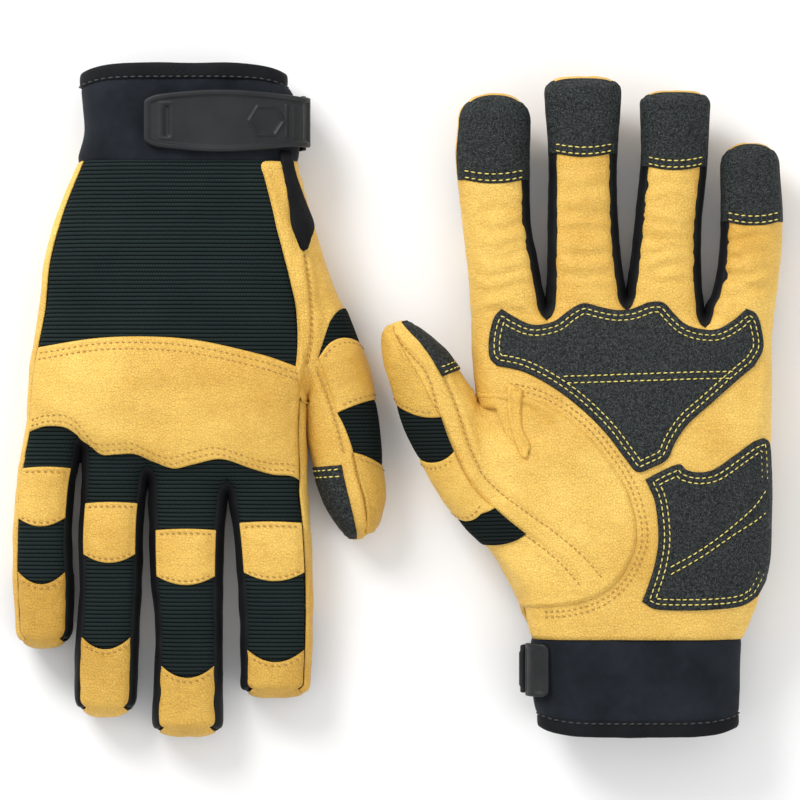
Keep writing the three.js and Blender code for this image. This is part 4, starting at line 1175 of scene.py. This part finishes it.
def thumbNormal(glove, s, a):
    ds = thumbSurface(glove, s + 0.04, a) - thumbSurface(glove, np.maximum(s - 0.04, 0), a)
    da = thumbSurface(glove, s, np.minimum(a + 0.003, 1)) - thumbSurface(glove, s, np.maximum(a - 0.003, 0))
    normal = np.cross(da, ds)
    return normal / np.maximum(np.linalg.norm(normal, axis=-1, keepdims=True), 1e-9)


def thumbFind(glove, x, y, side):
    # the s and a of plan positions on one face of the thumb: the nearest of a fine net's points on that face
    key = "net" + str(side)
    if key not in glove:
        stations = np.linspace(0, len(glove["thumb"]) - 1.01, 260)
        s, a = np.meshgrid(stations, np.linspace(0, 1, 361), indexing="ij")
        facing = thumbNormal(glove, s, a)[..., 2] * side > 0.05
        glove[key] = (s[facing], a[facing], thumbSurface(glove, s, a)[facing][:, :2])
    s, a, plan = glove[key]
    want = np.stack([np.ravel(x), np.ravel(y)], -1)
    best = np.array([np.argmin(((plan - p) ** 2).sum(1)) for p in want])
    return s[best], a[best]


def thumbRow(glove, s, a, lift):
    normals = thumbNormal(glove, s, a)
    return thumbSurface(glove, s, a) + normals * lift, normals


def thumbSeams(glove):
    # the drawn seams' places on the thumb's surface, smoothed between the drawn points
    seams = []
    for line in glove["thumbLines"]:
        path = smoothPath(line)(np.linspace(0, 1, 24))
        found = thumbFind(glove, path[:, 0], path[:, 1], glove["side"])
        fit = np.stack([np.convolve(np.pad(w, 3, "edge"), np.ones(7) / 7, "valid") for w in found], -1)
        seams.append(smoothPath(fit)(np.linspace(0, 1, 160)))
    return seams


def buildThumbLeather(glove, seams):
    end = len(glove["thumb"]) - 1
    join = glove["thumbRoot"]
    rows = np.concatenate([join * closeSteps(46, 0.05, 5)[:-5], np.linspace(join, end - 1, 80)[1:],
                           end - 1 + np.sin(np.linspace(0, math.pi / 2, 12))[1:]])
    s, a = np.meshgrid(rows, np.linspace(0, 1, 151), indexing="ij")
    tube = thumbSurface(glove, s, a)
    # closed at the tip
    tube = np.concatenate([tube, np.broadcast_to(tube[-1].mean(0), (1,) + tube.shape[1:])])
    seamPoints = np.concatenate([thumbSurface(glove, seam[:, 0], seam[:, 1]) for seam in seams])
    edges = np.array([k for k in range(len(seamPoints) - 1) if (k + 1) % 160])
    edges = np.stack([edges, edges + 1], -1)

    def leather(points, distance):
        # a groove at each seam and a roll beside it, and a raised lip inside the sewn edge
        away = edgeDistance(np.concatenate([seamPoints, points]), edges)[len(seamPoints):]
        roll = 0.4 * np.exp(-(((away - 2.2) / 1.6) ** 2))
        groove = -0.7 * np.exp(-((away / 0.75) ** 2))
        edge = 0.35 * np.exp(-(((distance - 1.6) / 1.1) ** 2)) - 0.5 * np.exp(-((distance / 0.8) ** 2))
        return groove + roll + edge + 0.05 * ripple(points, glove["seed"] + 62, 8)
    sewnPiece(glove, "thumb_leather", [tube], leather, thumbValues["leatherInside"], materials["leather"])


def thumbPanelEdges(glove):
    # an edge across the thumb's back: from its inner corner over the silhouette to the far side
    curves = []
    for inner, outer in glove["thumbEdges"]:
        innerS, innerA = (w[0] for w in thumbFind(glove, *inner, glove["side"]))
        outerS = thumbFind(glove, *outer, glove["side"])[0][0]
        farS = mix(outerS, innerS, 0.4)
        curves.append(smoothPath([[innerS, innerA], [outerS, 0.5], [farS, 1 - innerA]]))
    return curves


def buildThumbPanels(glove):
    # the panels over the thumb's back, from its root to its tip; returns their rows of stitches
    v = thumbValues
    curves = thumbPanelEdges(glove)

    def knit(points, distance):
        seam = 0.2 * np.exp(-((distance / 0.6) ** 2))
        return v["knitHeight"] - seam + 0.06 * ripple(points, glove["seed"] + 44, 8)
    # each panel's name, material, slot, outside, replaced nodes and the places of its rows of stitches
    pad, tip = panelProfile(glove, *v["pad"]), panelProfile(glove, *v["tip"])
    panels = [("thumb_back_knit", "fingerKnit", "knit", knit, ["thumb_back_knit"], ()),
              ("thumb_pad", "band", "leather", pad, [], (0.08, 0.92)),
              ("thumb_back_knit_upper", "fingerKnit", "knit", knit, [], ()),
              ("thumb_tip_leather", "tip", "leather", tip, ["thumb_tip_leather"], (0.05,))]
    rows = []
    for k, (name, look, slotName, profile, replaced, shares) in enumerate(panels):
        t = closeSteps(44, 0.04, 4)
        across = closeSteps(26, 0.06, 4)[:, None, None]
        net = mix(curves[k](t)[None], curves[k + 1](t)[None], across)
        grid = thumbSurface(glove, net[..., 0], net[..., 1])
        if curves[k](0.0)[1] > 0.5:
            grid = grid[:, ::-1]
        sewnPiece(glove, name, [grid], profile, v["panelInside"], materials[look],
                  replaced=replaced)
        t = np.linspace(0.04, 0.96, 80)
        for share in shares:
            net = mix(curves[k](t), curves[k + 1](t), share)
            rows.append(thumbRow(glove, net[:, 0], net[:, 1], v["panelRowLift"]))
    return rows


def buildThumbCap(glove):
    # grip cap on the thumb's front, its turns counted from the side that faces the index finger
    v = thumbValues
    low, high = glove["capTurns"]
    end = len(glove["thumb"]) - 1
    s, turn = np.meshgrid(mix(glove["capFrom"], end - 0.25, closeSteps(26, 0.07, 4)),
                          mix(high, low, closeSteps(30, 0.05, 4)), indexing="ij")
    sewnPiece(glove, "thumb_grip_cap", [thumbPoint(glove, s, turn)], panelProfile(glove, *v["cap"]),
              v["panelInside"], materials["grip"])
    t = np.linspace(0.03, 0.97, 70)
    a = -mix(low, high, t) / 360 % 1
    rows = [thumbRow(glove, np.full(70, glove["capFrom"] + step), a, 0.95) for step in v["capRows"]]
    yellowStitches(glove, "thumb_cap_stitching", rows)


def buildThumb(glove):
    seams = thumbSeams(glove)
    buildThumbLeather(glove, seams)
    rows = buildThumbPanels(glove)
    buildThumbCap(glove)
    # the seams' own stitches, and the two rows beside the seam on the palm
    rows += [thumbRow(glove, seam[:, 0], seam[:, 1] + 0.003, 0.02) for seam in seams]
    palmSeam = smoothPath(glove["thenar"])(np.linspace(0.02, 0.94, 200))
    for outside in thumbValues["palmRows"]:
        rows.append(planRow(glove, insetPath(palmSeam, outside, closed=False), -1, 0.06))
    tanStitches(glove, "thumb_stitching", rows, stitchValues["tanRadius"])


# values a user may change: the cuff and the tape folded over its edge
cuffValues = {
    "height": [[-36, 12.2], [-18, 12.0], [0, 13.2]],     # half the thickness along y
    "bow": 3.6,                                          # how far the sides of its edge hang down
    "end": -29.5,
    "thickness": 2.2,
    "tapeY": -33.4,
    "tapeHalf": (1.75, 3.2),                             # half the fold's thickness and length
    "stitch": (2.2, 2.9, 0.26),                          # length, pitch and radius
}


def cuffPoint(glove, y, turn):
    # a rounded ring whose lower edge bows a little
    y, turn = np.broadcast_arrays(np.asarray(y, float), np.asarray(turn, float))
    angle = np.radians(turn)
    c, n = np.cos(angle), np.sin(angle)
    power = 2 / shell["handPower"]
    y = y + np.clip((-y - 22) / 12, 0, 1.2) * cuffValues["bow"] * c**4
    height = np.interp(y, *np.transpose(cuffValues["height"]))
    left, right = glove["cuffLeftAt"](y), glove["cuffRightAt"](y)
    x = mix(left, right, (1 + np.sign(c) * np.abs(c) ** power) / 2)
    return np.stack([x, y, height * np.sign(n) * np.abs(n) ** power], -1)


def buildCuff(glove):
    v = cuffValues
    turns = np.linspace(0, 360, 161)
    end = v["end"]
    rows = np.concatenate([[1.2, 0.6, 0], np.linspace(-1, end, 30), end - np.array([0.5, 1.1, 1.7])])
    y, turn = np.meshgrid(rows, turns, indexing="ij")

    def profile(points, distance):
        return 0.22 * ripple(points, glove["seed"] + 5, 20) - 0.5 * np.exp(-((distance / 1.2) ** 2))
    sewnPiece(glove, "cuff", [cuffPoint(glove, y, turn)], profile, -v["thickness"], materials["neoprene"],
              uvs=[np.stack([turn * 0.7, y], -1)])
    # tape folded over the edge: a rounded section carried round the ring
    path = cuffPoint(glove, np.full(161, v["tapeY"]), turns)
    radial = np.stack([path[:, 0], 0 * turns, path[:, 2] * 3], -1)
    radial /= np.linalg.norm(radial, axis=1, keepdims=True)
    p, k = np.meshgrid(np.linspace(0, 2 * math.pi, 25), np.arange(161), indexing="ij")
    c, s = np.cos(p), np.sin(p)
    half, length = v["tapeHalf"]
    offset = half * np.sign(s) * np.abs(s) ** 0.6 - 1.1
    drop = length * np.sign(c) * np.abs(c) ** 0.7
    grid = path[None] + radial[None] * offset[..., None] + np.array([0, 1.0, 0]) * drop[..., None]

    def tapeProfile(points, distance):
        return 0.12 * ripple(points, glove["seed"] + 6, 9)
    sewnPiece(glove, "cuff_binding", [grid], tapeProfile, -0.4, materials["tape"],
              uvs=[np.stack([turns[k] * 0.7, p * 1.6], -1)])
    row = (path + radial * 0.75 + np.array([0, 2.2, 0]), radial)
    stitches(glove, "cuff_stitching", [row], materials["blackThread"], *v["stitch"], "tape")


# values a user may change: the closure tab, with a raised rim, a slot near its free end, and a hexagon and
# three ribs at its neck; turns are round the cuff, from the little finger's side over the back
tabValues = {"rim": 2.1, "rimHeight": 0.85, "slotX": 8.1, "slotHalf": 5.6, "hexX": -29.5, "hexSize": 5.4,
             "ribs": [-36.5, -38.8, -41.1], "thickness": 3.0, "inside": 1.5, "neckTurn": 177,
             "hookTurn": 150, "anchorTurns": (181, 222)}


def tabProfile(middle):
    # the tab's outside: its level, rim, slot with a ridge round it, hexagon and ribs, each a smooth step
    v = tabValues

    def profile(points, distance):
        px, py = points[:, 0], points[:, 1] - middle
        out = rolled(distance, v["thickness"], 0.8)
        out += v["rimHeight"] * easeInOut((v["rim"] - distance) / 0.7 + 0.5)
        slot = np.maximum(np.abs(px - v["slotX"]) - 0.9, np.abs(py) - v["slotHalf"])
        out -= 1.1 * easeInOut(0.5 - slot / 0.8)
        ridge = np.abs(np.maximum(np.abs(px - v["slotX"]) - 2.2, np.abs(py) - v["slotHalf"] - 1.2))
        out += 0.3 * easeInOut(1 - ridge / 0.8)
        hx, hy = np.abs(px - v["hexX"]), np.abs(py)
        hexagon = np.maximum(hy, 0.5 * hy + 0.866 * hx) - v["hexSize"]
        out += 0.65 * easeInOut(1 - np.abs(hexagon) / 0.8)
        out -= 0.3 * easeInOut(0.5 - (hexagon + 1.2) / 1.2)
        for rib in v["ribs"]:
            out += 0.6 * easeInOut(1 - np.abs(px - rib) / 0.8) * easeInOut((7.2 - np.abs(py)) / 1.2)
        return out
    return profile


def buildTab(glove):
    v = tabValues
    low, high = glove["tabY"]
    middle = (low + high) / 2
    turnAt = np.linspace(0, 180, 721)
    xs = cuffPoint(glove, np.full(721, middle), turnAt)[:, 0]
    freeTurn = np.interp(-glove["tabEnd"], -xs, turnAt)
    t, a = np.meshgrid(closeSteps(150, 0.02, 6), closeSteps(56, 0.05, 6) * 2 - 1, indexing="ij")
    turn = mix(freeTurn, v["neckTurn"], t)
    x = np.interp(turn, turnAt, xs)
    # half width: rounded at the free end, widest mid-way, drawn in at the neck
    fromEnd = glove["tabEnd"] - x
    endIn = np.clip(fromEnd / 6.5, 0, 1)
    width = (high - low) / 2 * (0.8 + 0.2 * np.sin(fromEnd / 58 * math.pi).clip(0, 1))
    width = width * (0.72 + 0.28 * np.sqrt(endIn * (2 - endIn)))
    grid = cuffPoint(glove, np.full(turn.shape, middle), turn)
    grid[..., 1] = middle + a * width
    sewnPiece(glove, "closure_tab", [grid], tabProfile(middle), v["inside"], materials["rubber"],
              part="tab")
    t, a = np.meshgrid(np.linspace(freeTurn + 3, v["hookTurn"], 40), np.linspace(-1, 1, 24), indexing="ij")
    grid = cuffPoint(glove, np.full(t.shape, middle), t)
    grid[..., 1] = middle + a * (high - low) * 0.38
    sewnPiece(glove, "hook_patch", [grid], lambda points, distance: rolled(distance, 1.4, 0.3), 0.45,
              materials["hook"], part="tab")
    # the sewn end plate on the other side
    start, end = v["anchorTurns"]
    t, a = np.meshgrid(mix(start, end, closeSteps(30, 0.06, 5)), closeSteps(34, 0.05, 5) * 2 - 1,
                       indexing="ij")
    endIn = np.clip((end - t) / 8, 0, 1)
    grid = cuffPoint(glove, np.full(t.shape, middle), t)
    grid[..., 1] = middle + a * (high - low) / 2 * 0.88 * (0.75 + 0.25 * np.sqrt(endIn * (2 - endIn)))

    def plate(points, distance):
        return rolled(distance, 1.5, 0.6) + 0.45 * easeInOut((1.7 - distance) / 0.7 + 0.5)
    sewnPiece(glove, "tab_anchor", [grid], plate, 0.1, materials["rubber"])


def makeDrape(glove, side, cell=0.6):
    # the outermost point of every small square seen from one side, gaps filled from their neighbours
    clouds = []
    for band in range(4):
        along, across = np.meshgrid(np.linspace(0.005, 2, 420), np.linspace(-1, 1, 70))
        clouds.append(surface(glove, band, across, along, side))
    s, a = np.meshgrid(np.linspace(0, len(glove["thumb"]) - 1, 420), np.linspace(0, 1, 420))
    clouds.append(thumbSurface(glove, s, a))
    for across, band in ((-1, 0), (1, 3)):
        along, sides = np.meshgrid(np.linspace(0.005, 2, 420), np.linspace(-1, 1, 40))
        clouds.append(surface(glove, band, across, along, sides))
    points = np.concatenate([c.reshape(-1, 3) for c in clouds])
    ix, iy = ((points[:, 0] + 110) / cell).astype(int), ((points[:, 1] + 10) / cell).astype(int)
    height = np.full((int(200 / cell), int(240 / cell)), -99.0)
    ix, iy = np.clip(ix, 0, height.shape[0] - 1), np.clip(iy, 0, height.shape[1] - 1)
    np.maximum.at(height, (ix, iy), side * points[:, 2])
    for _ in range(8):
        spread = np.max([np.roll(height, k, axis) for k in (1, -1) for axis in (0, 1)], axis=0)
        height = np.where(height < -50, spread - 0.4, height)
    for _ in range(3):
        height = sum(np.roll(height, k, axis) for k in (1, -1) for axis in (0, 1)) / 8 + height / 2

    def at(x, y):
        fx = np.clip((x + 110) / cell - 0.5, 0, height.shape[0] - 1.01)
        fy = np.clip((y + 10) / cell - 0.5, 0, height.shape[1] - 1.01)
        i, j = fx.astype(int), fy.astype(int)
        u, v = fx - i, fy - j
        z = mix(mix(height[i, j], height[i + 1, j], u), mix(height[i, j + 1], height[i + 1, j + 1], u), v)
        return np.stack([x, y, side * z], -1)
    return at


# values a user may change: the small pieces draped over the others, as thickness, edge radius and inside
drapeValues = {"tongue": (0.95, 0.7, -0.8), "gusset": (1.8, 0.8, 0.5, (), 0.05, 6), "gussetInside": -0.8,
               "rightShift": 12.0}


def buildTongue(glove):
    # the folded leather that closes the end of the seam in the crotch of the thumb
    thickness, radius, inside = drapeValues["tongue"]
    shift = 0.0 if glove["side"] < 0 else drapeValues["rightShift"]
    left = smoothPath([[-50.4, 99.5], [-50.4, 93.6], [-50, 86.6], [-48.4, 79.7], [-46.4, 73.5]])
    right = smoothPath([[-44.5, 96], [-45.2, 89], [-44.6, 81.6], [-41.8, 75.5], [-42.4, 72]])
    v, u = np.meshgrid(closeSteps(44, 0.05, 4), closeSteps(12, 0.12, 4), indexing="ij")
    plan = mix(left(v), right(v), u[..., None])
    plan[..., 1] -= np.sqrt(np.maximum(1 - (2 * u - 1) ** 2, 0)) * 2.4 * easeInOut((v - 0.8) / 0.2)
    plan[..., 0] += shift
    grid = glove["drapePalm"](plan[..., 0], plan[..., 1])

    def profile(points, distance):
        rim = 0.55 * np.exp(-(((distance - 0.9) / 0.6) ** 2))
        return rolled(distance, thickness, radius) + rim - 0.25 * easeInOut((distance - 1.4) / 1.5)
    sewnPiece(glove, "thumb_crotch_tongue", [grid], profile, inside, materials["band"],
              replaced=[])


def buildGusset(glove):
    # a teardrop of binding round the slit at the wrist, on the back of the hand beside the thumb's root
    left = smoothPath([[-34.5, -2.5], [-36.8, 8], [-38.6, 18], [-39.6, 26], [-42, 32]])
    right = smoothPath([[-38.6, -2.5], [-41, 8], [-44, 17], [-47, 26], [-45.5, 32.5]])
    v, u = np.meshgrid(closeSteps(40, 0.05, 4), closeSteps(12, 0.1, 4), indexing="ij")
    plan = mix(left(v), right(v), u[..., None])
    # the far end is rounded off
    bow = np.sqrt(np.maximum(1 - (2 * u - 1) ** 2, 0)) * 3.2 * easeInOut((v - 0.8) / 0.2)
    plan[..., 1] += bow
    grid = glove["drapeBack"](plan[..., 0], plan[..., 1])
    sewnPiece(glove, "wrist_gusset", [grid[:, ::-1]], panelProfile(glove, *drapeValues["gusset"]),
              drapeValues["gussetInside"], materials["tape"])


for glove in (rightGlove, leftGlove):
    buildSheets(glove)
    print(glove["name"], "sheets made")
    buildFingers(glove)
    print(glove["name"], "fingers made")
    buildBand(glove)
    buildPatches(glove)
    print(glove["name"], "band and patches made")
    buildThumb(glove)
    print(glove["name"], "thumb made")
    buildCuff(glove)
    buildTab(glove)
    glove["drapePalm"], glove["drapeBack"] = makeDrape(glove, -1), makeDrape(glove, 1)
    buildTongue(glove)
    buildGusset(glove)
    print(glove["name"], "cuff made")


# values a user may change: floor, light and camera
stageValues = {"floor": 0.9, "world": 0.8, "key": 15.0, "fill": 3.0, "lens": 200.0, "frameWidth": 0.308}
bpy.ops.mesh.primitive_plane_add(size=6, location=(0, 0, 0))
floor = bpy.context.object
floor.name = "floor"
floorNodes = Nodes("floor_pale")
pale, paler = (stageValues["floor"] - 0.01,) * 3, (stageValues["floor"],) * 3
floorTone = floorNodes.ramp(floorNodes.noise(3, 2), [(0.3, pale), (0.7, paler)])
floorNodes.put(floorNodes.shader.inputs["Base Color"], floorTone)
floorNodes.shader.inputs["Roughness"].default_value = 0.9
floor.data.materials.append(floorNodes.material)

world = bpy.data.worlds.new("studio")
bpy.context.scene.world = world
world.use_nodes = True
world.node_tree.nodes["Background"].inputs[0].default_value = (1, 1, 1, 1)
world.node_tree.nodes["Background"].inputs[1].default_value = stageValues["world"]


def softbox(name, place, target, size, power):
    light = bpy.data.lights.new(name, "AREA")
    light.shape = "RECTANGLE"
    light.size, light.size_y = size
    light.energy = power
    lamp = bpy.data.objects.new(name, light)
    bpy.context.collection.objects.link(lamp)
    lamp.location = place
    lamp.rotation_euler = (Vector(target) - Vector(place)).to_track_quat("-Z", "Y").to_euler()


softbox("key", (-0.7, 0.9, 0.8), (0, 0, 0), (0.6, 0.6), stageValues["key"])
softbox("fill", (0.8, -0.4, 0.8), (0, 0, 0), (0.8, 0.8), stageValues["fill"])

camera = bpy.data.cameras.new("camera")
camera.lens = stageValues["lens"]
camera.sensor_width = 36
camera.clip_end = 10
eye = bpy.data.objects.new("camera", camera)
bpy.context.collection.objects.link(eye)
eye.location = (0.0011, 0.0005, 0.017 + stageValues["frameWidth"] * stageValues["lens"] / 36)
bpy.context.scene.camera = eye
bpy.context.scene.view_settings.view_transform = "Standard"
